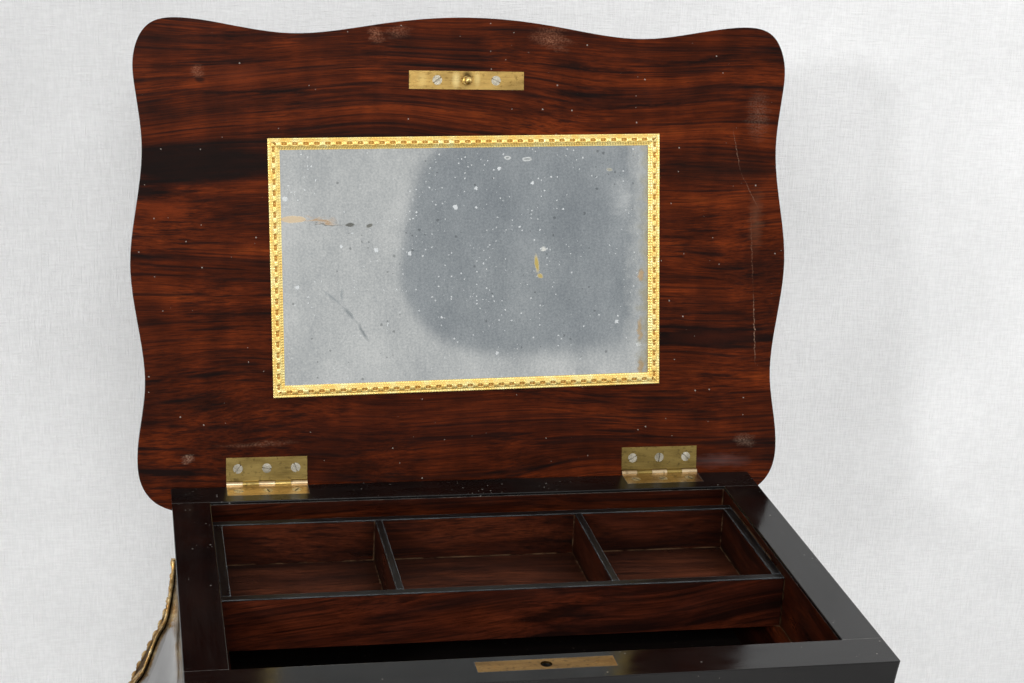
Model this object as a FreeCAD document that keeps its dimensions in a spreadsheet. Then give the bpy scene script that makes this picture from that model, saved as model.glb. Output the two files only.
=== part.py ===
import FreeCAD, Part
import os

import Sketcher
from FreeCAD import Placement, Rotation, Vector

os.makedirs("parts", exist_ok=True)
doc = FreeCAD.newDocument("dressing_table")

# Driving dimensions in millimetres. X runs across the table, -Y is the front, Z is up, and the origin
# lies on the floor under the middle of the case.
SIZES = (
    ("rim_height", 715, "floor to the top of the rim"),
    ("opening_width", 415, "well, across"),
    ("opening_depth", 273, "well, front to back"),
    ("side_rail_width", 29.5, "rim on each side of the well"),
    ("front_rail_width", 34.5, "rim in front of the well"),
    ("back_rail_width", 30.4, "rim behind the well"),
    ("rim_thickness", 22, "height of the rim rails"),
    ("rim_lip", 2.4, "black lip above the linings"),
    ("rim_arris", 0.7, "broken edge of the rim"),
    ("lining_thickness", 5, "rosewood linings of the well"),
    ("well_depth", 104, "rim to the well floor"),
    ("floor_thickness", 8, "well floor"),
    ("fit_gap", 0.5, "slack behind the linings"),
    ("board_arris", 0.4, "broken edge of linings, floor and runners"),
    ("neck_in", 3.2, "hollow of the case under the rim"),
    ("neck_drop", 52, "rim to the hollow"),
    ("waist_out", 2.2, "case one third of the way down, outwards of the rim"),
    ("waist_drop", 106, "rim to that place"),
    ("swell_out", 15, "case above the knee, outwards of the rim"),
    ("swell_drop", 143, "rim to that place"),
    ("knee_out", 38, "widest place of the legs, outwards of the rim"),
    ("knee_drop", 212, "rim to the knees"),
    ("calf_out", 18, "legs half way down, outwards of the rim"),
    ("calf_height", 300, "floor to half way"),
    ("ankle_out", 1, "ankles, outwards of the rim"),
    ("ankle_height", 95, "floor to the ankles"),
    ("toe_out", 13, "feet, outwards of the rim"),
    ("hock_thickness", 52, "legs just under the case"),
    ("hock_height", 462, "floor to that place"),
    ("calf_thickness", 33, "legs half way down"),
    ("ankle_thickness", 24, "legs at the ankles"),
    ("toe_thickness", 31, "legs at the floor"),
    ("leg_arris", 2.2, "rounding of the legs' long edges"),
    ("apron_drop", 222, "rim to the lowest place of the aprons"),
    ("mount_thickness", 4, "corner mounts"),
    ("mount_gap", 0.15, "corner mounts, sabots and escutcheon to the wood"),
    ("mount_top_drop", 60, "rim to the tips of the corner mounts"),
    ("mount_length", 226, "corner mounts, upright"),
    ("mount_half_width", 30, "corner mounts, each side of the arris"),
    ("sabot_height", 52, "gilt feet"),
    ("sabot_thickness", 2.4, "gilt feet, wall and sole"),
    ("sabot_slope", 30, "gilt feet, slope of the upper edge in degrees"),
    ("runner_width", 6, "tray runners"),
    ("runner_height", 9, "tray runners"),
    ("tray_drop", 8.2, "rim to the top of the tray"),
    ("tray_side_gap", 0.6, "tray to the linings"),
    ("tray_back_gap", 18.9, "tray to the back lining at rest"),
    ("tray_run_gap", 0.1, "tray to the runners"),
    ("tray_depth", 137.4, "tray, front to back"),
    ("tray_height", 40, "tray walls"),
    ("tray_wall", 7, "tray walls"),
    ("tray_floor_thickness", 6, "tray floor"),
    ("divider_thickness", 5.6, "tray dividers"),
    ("end_compartment", 117.5, "outer compartments of the tray, across"),
    ("tray_arris", 0.6, "broken edges of the tray"),
    ("lock_offset", -2.4, "lock and stud, across from the middle"),
    ("lock_setback", 13.5, "well to the middle of the lock"),
    ("lock_plate_length", 93.4, "lock plate"),
    ("lock_plate_width", 14, "lock plate"),
    ("lock_plate_thickness", 1.6, "lock plate"),
    ("lock_case_length", 62, "lock case"),
    ("lock_case_width", 12, "lock case"),
    ("lock_case_height", 36, "lock case"),
    ("lock_case_wall", 1.4, "lock case"),
    ("lock_shoulder", 0.9, "ledge that carries the bolt"),
    ("lock_clearance", 0.15, "bolt and case, running"),
    ("lock_hole_radius", 4, "hole for the stud"),
    ("bolt_length", 46, "lock bolt"),
    ("bolt_thickness", 2, "lock bolt"),
    ("bolt_travel", 6, "lock bolt, open to locked"),
    ("bolt_tail_length", 12, "lug that the key pushes"),
    ("bolt_tail_width", 4, "lug that the key pushes"),
    ("bolt_tail_offset", 16, "lug from the stud"),
    ("plate_pin_radius", 0.9, "pins of the plates"),
    ("plate_pin_length", 9, "pins of the plates"),
    ("plate_pin_head", 0.2, "pin heads above the plates"),
    ("lock_pin_offset", 34.5, "lock plate pins from its middle"),
    ("keyhole_drop", 27, "rim to the keyhole"),
    ("keyhole_radius", 2.6, "keyhole"),
    ("keyhole_slot", 7, "keyhole, lower slot"),
    ("keyhole_slot_width", 2.4, "keyhole, lower slot"),
    ("escutcheon_height", 30, "escutcheon"),
    ("escutcheon_width", 20, "escutcheon"),
    ("escutcheon_thickness", 2, "escutcheon"),
    ("lid_side_overhang", 28.6, "lid past the rim on each side, at its widest"),
    ("lid_front_overhang", 28, "lid past the rim in front"),
    ("lid_back_overhang", 24.5, "lid behind the hinge axis"),
    ("lid_board_thickness", 15.6, "lid without its veneer"),
    ("veneer_thickness", 1.2, "rosewood sheets"),
    ("lid_edge_radius", 6, "lid, outer edge"),
    ("lid_gap", 0.4, "closed lid above the rim"),
    ("lid_open_angle", 101.2, "closed to leaning back, degrees"),
    ("mirror_side_margin", 79.1, "rim's side to the gilt moulding"),
    ("mirror_hinge_margin", 71.85, "hinge axis to the gilt moulding"),
    ("mirror_strike_margin", 43.65, "gilt moulding to the middle of the strike plate"),
    ("mirror_skew", -1.03, "mirror, turned on the lid, degrees"),
    ("moulding_width", 9.3, "gilt mouldings"),
    ("moulding_crown", 3.8, "gilt mouldings, proud"),
    ("moulding_edge", 1.8, "gilt mouldings, outer edge"),
    ("moulding_sight", 1, "gilt mouldings, inner edge"),
    ("moulding_lap", 4, "gilt mouldings over the glass"),
    ("glass_thickness", 3, "mirror glass"),
    ("glass_clearance", 0.3, "mirror glass in its recess"),
    ("strike_length", 92.2, "strike plate"),
    ("strike_width", 14.4, "strike plate"),
    ("strike_proud", 0.1, "strike plate above the veneer"),
    ("strike_screw_offset", 23.6, "strike screws from the stud"),
    ("strike_pin_offset", 40.4, "strike pins from the stud"),
    ("stud_ball_radius", 3.1, "stud"),
    ("stud_neck_radius", 1.6, "stud"),
    ("stud_reach", 7.4, "plate to the middle of the ball"),
    ("stud_collar_radius", 3.6, "stud"),
    ("stud_collar_height", 0.7, "stud"),
    ("stud_shank", 6, "stud, in the lid"),
    ("hinge_inset", 75.5, "rim's side to the middle of a hinge"),
    ("hinge_length", 64, "hinge leaves"),
    ("leaf_width", 21.6, "hinge axis to the leaf's edge"),
    ("leaf_thickness", 1.6, "hinge leaves"),
    ("knuckle_radius", 2.6, "hinge barrel"),
    ("knuckle_clearance", 0.3, "barrel to the wood and to the other leaf"),
    ("knuckle_side_gap", 0.15, "between knuckles"),
    ("hinge_pin_radius", 1.1, "hinge pins"),
    ("hinge_pin_clearance", 0.05, "hinge pins in the knuckles"),
    ("hinge_screw_row", 12.6, "hinge axis to the screws"),
    ("hinge_screw_pitch", 22.8, "hinge screws"),
    ("screw_head_radius", 3.8, "countersunk heads"),
    ("screw_head_height", 2.2, "countersunk heads"),
    ("screw_shank_radius", 1.6, "screws"),
    ("screw_length", 12, "screws"),
    ("screw_slot_width", 1, "screws"),
    ("screw_slot_depth", 0.7, "screws"),
    ("seat_clearance", 0.05, "screws, pins and plates in the wood"),
    ("overrun", 20, "cutters past what they cut"),
)
KNUCKLES = 5
HALVINGS = 50

sheet = doc.addObject("Spreadsheet::Sheet", "Sizes")
for row, (alias, value, note) in enumerate(SIZES, start=1):
    sheet.set(f"A{row}", alias)
    sheet.set(f"B{row}", str(value))
    sheet.set(f"C{row}", note)
    sheet.setAlias(f"B{row}", alias)
doc.recompute()


class Cells:
    """The sheet's cells as numbers, for the shapes that are set in code."""

    def __getattr__(self, alias):
        return float(sheet.get(alias))


mm = Cells()
pieces = []


def keep(name, shape, placement=None):
    """A piece whose shape is worked out in code."""
    piece = doc.addObject("Part::Feature", name)
    piece.Label = name
    piece.Shape = shape
    if placement:
        piece.Placement = placement
    pieces.append(piece)


def corner_box(low, high):
    """A box between two opposite corners."""
    size = high - low
    return Part.makeBox(size.x, size.y, size.z, low)


def board(name, length, width, height, corner, arris):
    """A planed board with broken edges, bound to the sheet: its sizes and corner are expressions."""
    body = doc.addObject("PartDesign::Body", name)
    body.Label = name
    sketch = body.newObject("Sketcher::SketchObject", name + "_plan")
    plane = next(f for f in body.Origin.OriginFeatures if f.Role == "XY_Plane")
    sketch.AttachmentSupport = [(plane, "")]
    sketch.MapMode = "FlatFace"
    for axis, expression in zip("xyz", corner):
        sketch.setExpression(f"AttachmentOffset.Base.{axis}", expression)
    corners = [Vector(0, 0), Vector(1, 0), Vector(1, 1), Vector(0, 1)]
    for start, end in zip(corners, corners[1:] + corners[:1]):
        sketch.addGeometry(Part.LineSegment(start, end), False)
    for side in range(4):
        sketch.addConstraint(Sketcher.Constraint("Coincident", side, 2, (side + 1) % 4, 1))
    for side in (0, 2):
        sketch.addConstraint(Sketcher.Constraint("Horizontal", side))
        sketch.addConstraint(Sketcher.Constraint("Vertical", side + 1))
    sketch.addConstraint(Sketcher.Constraint("Coincident", 0, 1, -1, 1))
    across = sketch.addConstraint(Sketcher.Constraint("DistanceX", 0, 1, 0, 2, 1))
    along = sketch.addConstraint(Sketcher.Constraint("DistanceY", 1, 1, 1, 2, 1))
    sketch.setExpression(f"Constraints[{across}]", length)
    sketch.setExpression(f"Constraints[{along}]", width)
    pad = body.newObject("PartDesign::Pad", name + "_thickness")
    pad.Profile = sketch
    pad.setExpression("Length", height)
    doc.recompute()
    edges = [f"Edge{number}" for number in range(1, len(pad.Shape.Edges) + 1)]
    rounding = body.newObject("PartDesign::Fillet", name + "_arris")
    rounding.Base = (pad, edges)
    rounding.setExpression("Radius", arris)
    pieces.append(body)


# The case: half sizes over the rim, and the lines that its pieces meet on
half_width = mm.opening_width / 2 + mm.side_rail_width
half_depth = (mm.opening_depth + mm.front_rail_width + mm.back_rail_width) / 2
well_side = mm.opening_width / 2
well_front = mm.front_rail_width - half_depth
well_back = half_depth - mm.back_rail_width
post_side = well_side + mm.lining_thickness
post_front = well_front - mm.lining_thickness
post_back = well_back + mm.lining_thickness
rim_under = mm.rim_height - mm.rim_thickness
lining_top = mm.rim_height - mm.rim_lip
reach = half_width + half_depth

# Outer outline of case and leg: how far outwards of the rim it lies, from the rim down to the floor
outline = (
    (0, mm.rim_height),
    (-mm.neck_in, mm.rim_height - mm.neck_drop),
    (mm.waist_out, mm.rim_height - mm.waist_drop),
    (mm.swell_out, mm.rim_height - mm.swell_drop),
    (mm.knee_out, mm.rim_height - mm.knee_drop),
    (mm.calf_out, mm.calf_height),
    (mm.ankle_out, mm.ankle_height),
    (mm.toe_out, 0),
)
# Bottom line of the aprons, from the middle to a leg: share of the way, share of the apron's drop
apron_shares = ((0, 1), (0.34, 0.955), (0.62, 0.875), (0.8, 0.865), (1, 0.92))
apron_end = mm.rim_height - mm.apron_drop * apron_shares[-1][1]


def smooth(points):
    """A smooth curve through points of the XZ plane."""
    curve = Part.BSplineCurve()
    curve.interpolate(Points=[Vector(x, 0, z) for x, z in points])
    return curve


outer_curve = smooth(outline)


def out_at(height):
    """How far the outline lies outwards of the rim at a height."""
    low, high = outer_curve.FirstParameter, outer_curve.LastParameter
    for halving in range(HALVINGS):
        middle = (low + high) / 2
        if outer_curve.value(middle).z > height:
            low = middle
        else:
            high = middle
    return outer_curve.value(low).x


def filled(curve, *corners):
    """The region between a curve and straight lines through corners, made thick along Y both ways."""
    stops = [curve.value(curve.LastParameter)] + [Vector(x, 0, z) for x, z in corners]
    stops.append(curve.value(curve.FirstParameter))
    edges = [curve.toShape()] + [Part.makeLine(a, b) for a, b in zip(stops, stops[1:])]
    face = Part.Face(Part.Wire(edges))
    face.translate(Vector(0, -reach, 0))
    return face.extrude(Vector(0, 2 * reach, 0))


def turned(shape, degrees=90):
    """A copy turned about the upright axis."""
    copy = shape.copy()
    copy.rotate(Vector(), Vector(0, 0, 1), degrees)
    return copy


def mirrored(shape):
    """The same shape on the other side of the table."""
    return shape.mirror(Vector(), Vector(1, 0, 0))


def brought_forward(shape):
    """The same shape at the front instead of the back."""
    return shape.mirror(Vector(), Vector(0, 1, 0))


def slab(half):
    """All that lies between the left and right outlines, at this half width over the rim."""
    right = outer_curve.copy()
    right.translate(Vector(half, 0, 0))
    half_slab = filled(right, (0, 0), (0, mm.rim_height))
    return half_slab.fuse(mirrored(half_slab)).removeSplitter()


def block(shift):
    """The outside of case and legs as one solid with square corners, grown outwards by shift."""
    return slab(half_width + shift).common(turned(slab(half_depth + shift)))


def cut_all(shape, tools):
    """The shape with every tool taken out of it."""
    for tool in tools:
        shape = shape.cut(tool)
    return shape


sharp_block = block(0)
body_block = sharp_block.makeFillet(
    mm.leg_arris, [e for e in sharp_block.Edges if e.BoundBox.ZLength > mm.rim_height / 2])

# Hinge axis, the middle of a hinge, and where the lock's middle comes
axis_y = half_depth + mm.knuckle_radius + mm.knuckle_clearance
axis_z = mm.rim_height + mm.lid_gap / 2
hinge_offset = half_width - mm.hinge_inset
lock_y = well_front - mm.lock_setback
strike_reach = axis_y - lock_y
lid_placement = Placement(Vector(0, axis_y, axis_z), Rotation(Vector(1, 0, 0), -mm.lid_open_angle))


def screw(extra=0):
    """A slotted countersunk wood screw, its head's face up at zero, or its hole, larger by extra."""
    cone = Part.makeCone(mm.screw_shank_radius + extra, mm.screw_head_radius + extra,
                         mm.screw_head_height, Vector(0, 0, -mm.screw_head_height))
    shank = Part.makeCylinder(mm.screw_shank_radius + extra, mm.screw_length + extra,
                              Vector(0, 0, -mm.screw_length - extra))
    whole = cone.fuse(shank)
    if extra:
        return whole.fuse(Part.makeCylinder(mm.screw_head_radius + extra, mm.overrun))
    slot = corner_box(
        Vector(-mm.screw_slot_width / 2, -mm.screw_head_radius, -mm.screw_slot_depth),
        Vector(mm.screw_slot_width / 2, mm.screw_head_radius, mm.screw_slot_depth))
    return whole.cut(slot)


def pin(extra=0):
    """A small pin, its top just proud of zero, or its hole, larger by extra."""
    length = mm.plate_pin_length + extra
    return Part.makeCylinder(mm.plate_pin_radius + extra, length + mm.plate_pin_head, Vector(0, 0, -length))


def spread(shape, places, over=False):
    """Copies of a fastener at several places, head up or, in the lid, head down."""
    copies = []
    for place in places:
        copy = shape.copy()
        if over:
            copy.rotate(Vector(), Vector(1, 0, 0), 180)
        copy.translate(place)
        copies.append(copy)
    return copies


# Screws of the hinges. In the lid, places are in the frame of the closed lid: its origin is on the
# hinge axis, -Y runs to the lid's front edge, and the lid lies over it.
hinge_screw_places = [
    Vector(side * hinge_offset + step * mm.hinge_screw_pitch, -mm.hinge_screw_row, 0)
    for side in (-1, 1) for step in (-1, 0, 1)
]
rim_screw_places = [place + Vector(0, axis_y, mm.rim_height) for place in hinge_screw_places]
lid_screw_places = [place + Vector(0, 0, mm.lid_gap / 2) for place in hinge_screw_places]
slack = mm.seat_clearance


def leaf_seats(low, high):
    """The recesses of two hinge leaves, about the hinge axis, between two heights."""
    return [
        corner_box(Vector(side * hinge_offset - mm.hinge_length / 2 - slack, -mm.leaf_width - slack, low),
                   Vector(side * hinge_offset + mm.hinge_length / 2 + slack, mm.overrun, high))
        for side in (-1, 1)
    ]


# Lock: a case under a brass plate in the front rail, and a bolt that slides sideways in it
lock_top = mm.rim_height - mm.lock_plate_thickness
lock_low = lock_top - mm.lock_case_height
bolt_top = lock_top - mm.lock_clearance
bolt_low = bolt_top - mm.bolt_thickness
channel_low = bolt_low - mm.lock_clearance
lock_pin_places = [
    Vector(mm.lock_offset + side * mm.lock_pin_offset, lock_y, mm.rim_height) for side in (-1, 1)
]


def lock_box(half_length, half_lock_width, low, high):
    """A box about the lock's middle."""
    return corner_box(Vector(mm.lock_offset - half_length, lock_y - half_lock_width, low),
                      Vector(mm.lock_offset + half_length, lock_y + half_lock_width, high))


def keyhole():
    """The key's way in, from the front to the inside of the lock case."""
    start = -half_depth - mm.overrun
    inner = lock_y - mm.lock_case_width / 2 + mm.lock_case_wall
    height = mm.rim_height - mm.keyhole_drop
    barrel = Part.makeCylinder(mm.keyhole_radius, inner - start, Vector(mm.lock_offset, start, height),
                               Vector(0, 1, 0))
    slot = corner_box(Vector(mm.lock_offset - mm.keyhole_slot_width / 2, start, height - mm.keyhole_slot),
                      Vector(mm.lock_offset + mm.keyhole_slot_width / 2, inner, height))
    return barrel.fuse(slot)


def lock_case():
    """The iron case: a channel for the bolt over a narrower hollow for the stud and the bolt's lug."""
    inside_length = mm.lock_case_length / 2 - mm.lock_case_wall
    inside_width = mm.lock_case_width / 2 - mm.lock_case_wall
    return cut_all(lock_box(mm.lock_case_length / 2, mm.lock_case_width / 2, lock_low, lock_top), [
        lock_box(inside_length, inside_width, channel_low, lock_top),
        lock_box(inside_length, inside_width - mm.lock_shoulder, lock_low + mm.lock_case_wall, lock_top),
        keyhole(),
    ])


def lock_bolt():
    """A plate with a keyhole-shaped hole, wide over the stud at rest, and a lug for the key."""
    half_bolt = mm.lock_case_width / 2 - mm.lock_case_wall - mm.lock_clearance
    plate = lock_box(mm.bolt_length / 2, half_bolt, bolt_low, bolt_top)
    hole = Part.makeCylinder(mm.lock_hole_radius, mm.bolt_thickness, Vector(mm.lock_offset, lock_y, bolt_low))
    half_slot = (mm.stud_neck_radius + mm.stud_ball_radius) / 2
    slot = corner_box(
        Vector(mm.lock_offset - mm.bolt_travel - half_slot, lock_y - half_slot, bolt_low),
        Vector(mm.lock_offset, lock_y + half_slot, bolt_top))
    lug_x = mm.lock_offset + mm.bolt_tail_offset
    lug = corner_box(
        Vector(lug_x, lock_y - mm.bolt_tail_width / 2, bolt_low - mm.bolt_tail_length),
        Vector(lug_x + mm.bolt_tail_width, lock_y + mm.bolt_tail_width / 2, bolt_top))
    return cut_all(plate, [hole, slot]).fuse(lug).removeSplitter()


lock_pin_holes = spread(pin(slack), lock_pin_places)
lock_mortise = lock_box(mm.lock_case_length / 2 + slack, mm.lock_case_width / 2 + slack,
                        lock_low - slack, lock_top)
lock_plate_seat = lock_box(mm.lock_plate_length / 2 + slack, mm.lock_plate_width / 2 + slack, lock_top,
                           mm.rim_height + mm.overrun)
plate_hole = Part.makeCylinder(mm.lock_hole_radius, mm.lock_plate_thickness,
                               Vector(mm.lock_offset, lock_y, lock_top))
keep("lock_plate", cut_all(
    lock_box(mm.lock_plate_length / 2, mm.lock_plate_width / 2, lock_top, mm.rim_height),
    [plate_hole] + lock_pin_holes))
keep("lock_plate_pins", Part.Compound(spread(pin(), lock_pin_places)))
keep("lock_case", lock_case())
keep("lock_bolt", lock_bolt())

# Rim: ebonised rails, the front and back ones over the whole width, rebated over the linings
rim_band = body_block.common(
    corner_box(Vector(-reach, -reach, rim_under), Vector(reach, reach, mm.rim_height)))
rebate = corner_box(Vector(-post_side, post_front, rim_under), Vector(post_side, post_back, lining_top))
way_in = corner_box(Vector(-well_side, well_front, rim_under), Vector(well_side, well_back, mm.rim_height))
rim_ring = cut_all(rim_band, [rebate, way_in])
rim_ring = rim_ring.makeFillet(
    mm.rim_arris, [e for e in rim_ring.Edges if e.BoundBox.ZMin > mm.rim_height - mm.rim_arris])
rim_leaf_seats = leaf_seats(-mm.leaf_thickness, mm.overrun)
for seat in rim_leaf_seats:
    seat.translate(Vector(0, axis_y, mm.rim_height))


def rim_between(x_low, y_low, x_high, y_high):
    """The part of the rim between two corners."""
    return rim_ring.common(corner_box(Vector(x_low, y_low, rim_under),
                                      Vector(x_high, y_high, mm.rim_height)))


keep("rim_front", cut_all(rim_between(-reach, -reach, reach, well_front),
                          [lock_mortise, lock_plate_seat] + lock_pin_holes))
keep("rim_back", cut_all(rim_between(-reach, well_back, reach, reach),
                         rim_leaf_seats + spread(screw(slack), rim_screw_places)))
keep("rim_right", rim_between(0, well_front, reach, well_back))
keep("rim_left", rim_between(-reach, well_front, 0, well_back))


# Curved front, back and sides: each is shaped from the solid, as thick as the rim leaves room for
def apron(half_span):
    """The region over an apron's bottom line, as wide as the space between two legs."""
    points = [(share * half_span, mm.rim_height - drop * mm.apron_drop) for share, drop in apron_shares]
    line = smooth([(-x, z) for x, z in reversed(points[1:])] + points)
    return filled(line, (half_span, rim_under), (-half_span, rim_under))


def panel_thickness(rail_width):
    """What is left between the hollow of the outside and the back of a lining."""
    return rail_width - mm.lining_thickness - mm.neck_in - mm.fit_gap


def long_panel(rail_width):
    """A front or back panel, at both places."""
    inside = turned(slab(half_depth - panel_thickness(rail_width)))
    return body_block.cut(inside).common(apron(post_side))


front_half = corner_box(Vector(-reach, -reach, 0), Vector(reach, 0, mm.rim_height))
back_half = corner_box(Vector(-reach, 0, 0), Vector(reach, reach, mm.rim_height))
keep("case_front", cut_all(long_panel(mm.front_rail_width).common(front_half), [lock_mortise, keyhole()]))
keep("case_back", long_panel(mm.back_rail_width).common(back_half))
side_apron = turned(apron((post_back - post_front) / 2))
side_apron.translate(Vector(0, (post_back + post_front) / 2, 0))
side_panels = body_block.cut(slab(half_width - panel_thickness(mm.side_rail_width))).common(side_apron)
side_right = side_panels.common(corner_box(Vector(0, -reach, 0), Vector(reach, reach, mm.rim_height)))
keep("case_side_right", side_right)
keep("case_side_left", mirrored(side_right))


# Legs: each runs up through its corner of the case, and is sawn on two faces and hollowed on the others
def hollow(half, post_line, shift):
    """What is sawn away behind a leg, seen from one face; shift leaves the leg that much thicker."""
    line = smooth((
        (post_line, apron_end),
        (half + out_at(mm.hock_height) - mm.hock_thickness - shift, mm.hock_height),
        (half + mm.calf_out - mm.calf_thickness - shift, mm.calf_height),
        (half + mm.ankle_out - mm.ankle_thickness - shift, mm.ankle_height),
        (half + mm.toe_out - mm.toe_thickness - shift, 0),
    ))
    return filled(line, (0, 0), (0, apron_end))


def leg_below(outside, post_line, shift, low, high):
    """The free part of a back right leg between two heights."""
    quarter = outside.common(corner_box(Vector(0, 0, low), Vector(reach, reach, high)))
    return cut_all(
        quarter, [hollow(half_width, post_side, shift), turned(hollow(half_depth, post_line, shift))])


def leg(post_line):
    """A back right leg whose post reaches in to this line."""
    post = body_block.common(
        corner_box(Vector(post_side, post_line, apron_end), Vector(reach, reach, rim_under)))
    return leg_below(body_block, post_line, 0, mm.sabot_thickness, apron_end).fuse(post).removeSplitter()


back_leg = leg(post_back)
front_leg = brought_forward(leg(-post_front))
keep("leg_back_right", back_leg)
keep("leg_back_left", mirrored(back_leg))
keep("leg_front_right", front_leg)
keep("leg_front_left", mirrored(front_leg))

# Gilt feet: a cast cup round each foot, its upper edge rising to the outer arris
cup_block = block(mm.sabot_thickness)
gap_block = block(mm.mount_gap)
slope = corner_box(Vector(-reach, -reach, 0), Vector(reach, reach, reach))
slope.rotate(Vector(), Vector(1, -1, 0), mm.sabot_slope)
slope.translate(Vector(half_width + mm.toe_out, half_depth + mm.toe_out, mm.sabot_height))


def sabot(post_line):
    """The cup of a back right foot."""
    cup = leg_below(cup_block, post_line, mm.sabot_thickness, 0, mm.sabot_height)
    foot = leg_below(gap_block, post_line, mm.mount_gap, mm.sabot_thickness, mm.sabot_height)
    return cup.cut(foot).cut(slope)


back_sabot = sabot(post_back)
front_sabot = brought_forward(sabot(-post_front))
keep("sabot_back_right", back_sabot)
keep("sabot_back_left", mirrored(back_sabot))
keep("sabot_front_right", front_sabot)
keep("sabot_front_left", mirrored(front_sabot))

# Gilt corner mounts: a thin cast leaf folded over the arris, from under the rim to below the knee.
# Its edge: share of the way down, share of its half width
leaf_shares = ((0, 0.12), (0.07, 0.3), (0.13, 0.22), (0.24, 0.55), (0.31, 0.38), (0.45, 0.85), (0.53, 0.58),
               (0.66, 1), (0.75, 0.6), (0.86, 0.5), (0.93, 0.28), (1, 0.1))


def leaf_region(half):
    """All that lies outwards of a leaf's edge, seen from one face."""
    points = []
    for down, across in leaf_shares:
        height = mm.rim_height - mm.mount_top_drop - down * mm.mount_length
        points.append((half + out_at(height) + mm.mount_thickness - across * mm.mount_half_width, height))
    return filled(smooth(points), (reach, points[-1][1]), (reach, points[0][1]))


mount_shell = block(mm.mount_thickness).common(corner_box(Vector(), Vector(reach, reach, mm.rim_height)))
back_mount = mount_shell.cut(gap_block)
back_mount = back_mount.common(leaf_region(half_width)).common(turned(leaf_region(half_depth)))
keep("corner_mount_back_right", back_mount)
keep("corner_mount_back_left", mirrored(back_mount))
keep("corner_mount_front_right", brought_forward(back_mount))
keep("corner_mount_front_left", mirrored(brought_forward(back_mount)))


def escutcheon():
    """An oval gilt plate round the keyhole, bent to the case front."""
    middle = Vector(mm.lock_offset, 0, mm.rim_height - mm.keyhole_drop - mm.keyhole_slot / 3)
    oval = Part.Ellipse(middle + Vector(0, 0, mm.escutcheon_height / 2),
                        middle + Vector(mm.escutcheon_width / 2, 0, 0), middle)
    column = Part.Face(Part.Wire(oval.toShape())).extrude(Vector(0, -reach, 0))
    shell = turned(slab(half_depth + mm.escutcheon_thickness)).cut(turned(slab(half_depth + mm.mount_gap)))
    return shell.common(column).cut(keyhole())


keep("escutcheon", escutcheon())

# Well: rosewood linings that stand on the well floor, and the runners that carry the tray
WELL_FRONT = "(Sizes.front_rail_width - Sizes.back_rail_width - Sizes.opening_depth) / 2"
WELL_BACK = "(Sizes.front_rail_width - Sizes.back_rail_width + Sizes.opening_depth) / 2"
WELL_LEFT = "-Sizes.opening_width / 2"
LINING_LEFT = "-Sizes.opening_width / 2 - Sizes.lining_thickness"
LINING_LENGTH = "Sizes.opening_width + 2 * Sizes.lining_thickness"
FLOOR_TOP = "Sizes.rim_height - Sizes.well_depth"
LINING_HEIGHT = "Sizes.well_depth - Sizes.rim_lip"
board("lining_front", LINING_LENGTH, "Sizes.lining_thickness", LINING_HEIGHT,
      (LINING_LEFT, WELL_FRONT + " - Sizes.lining_thickness", FLOOR_TOP), "Sizes.board_arris")
board("lining_back", LINING_LENGTH, "Sizes.lining_thickness", LINING_HEIGHT,
      (LINING_LEFT, WELL_BACK, FLOOR_TOP), "Sizes.board_arris")
board("lining_left", "Sizes.lining_thickness", "Sizes.opening_depth", LINING_HEIGHT,
      (LINING_LEFT, WELL_FRONT, FLOOR_TOP), "Sizes.board_arris")
board("lining_right", "Sizes.lining_thickness", "Sizes.opening_depth", LINING_HEIGHT,
      ("Sizes.opening_width / 2", WELL_FRONT, FLOOR_TOP), "Sizes.board_arris")
board("well_floor", LINING_LENGTH,
      "Sizes.opening_depth + 2 * Sizes.lining_thickness", "Sizes.floor_thickness",
      (LINING_LEFT, WELL_FRONT + " - Sizes.lining_thickness", FLOOR_TOP + " - Sizes.floor_thickness"),
      "Sizes.board_arris")
TRAY_LOW = "Sizes.rim_height - Sizes.tray_drop - Sizes.tray_height"
RUNNER_LOW = TRAY_LOW + " - Sizes.tray_run_gap - Sizes.runner_height"
board("runner_left", "Sizes.runner_width", "Sizes.opening_depth", "Sizes.runner_height",
      (WELL_LEFT, WELL_FRONT, RUNNER_LOW), "Sizes.board_arris")
board("runner_right", "Sizes.runner_width", "Sizes.opening_depth", "Sizes.runner_height",
      ("Sizes.opening_width / 2 - Sizes.runner_width", WELL_FRONT, RUNNER_LOW), "Sizes.board_arris")

# Tray: front and back run over the ends, and the floor and dividers are let in between them
TRAY_LEFT = "Sizes.tray_side_gap - Sizes.opening_width / 2"
TRAY_LENGTH = "Sizes.opening_width - 2 * Sizes.tray_side_gap"
END_RIGHT = "Sizes.opening_width / 2 - Sizes.tray_side_gap - Sizes.tray_wall"
TRAY_BACK = WELL_BACK + " - Sizes.tray_back_gap"
TRAY_FRONT = TRAY_BACK + " - Sizes.tray_depth"
INSIDE_FRONT = TRAY_FRONT + " + Sizes.tray_wall"
INSIDE_DEPTH = "Sizes.tray_depth - 2 * Sizes.tray_wall"
DIVIDER_LOW = TRAY_LOW + " + Sizes.tray_floor_thickness"
DIVIDER_HEIGHT = "Sizes.tray_height - Sizes.tray_floor_thickness"
board("tray_front", TRAY_LENGTH, "Sizes.tray_wall", "Sizes.tray_height",
      (TRAY_LEFT, TRAY_FRONT, TRAY_LOW), "Sizes.tray_arris")
board("tray_back", TRAY_LENGTH, "Sizes.tray_wall", "Sizes.tray_height",
      (TRAY_LEFT, TRAY_BACK + " - Sizes.tray_wall", TRAY_LOW), "Sizes.tray_arris")
board("tray_end_left", "Sizes.tray_wall", INSIDE_DEPTH, "Sizes.tray_height",
      (TRAY_LEFT, INSIDE_FRONT, TRAY_LOW), "Sizes.tray_arris")
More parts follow.
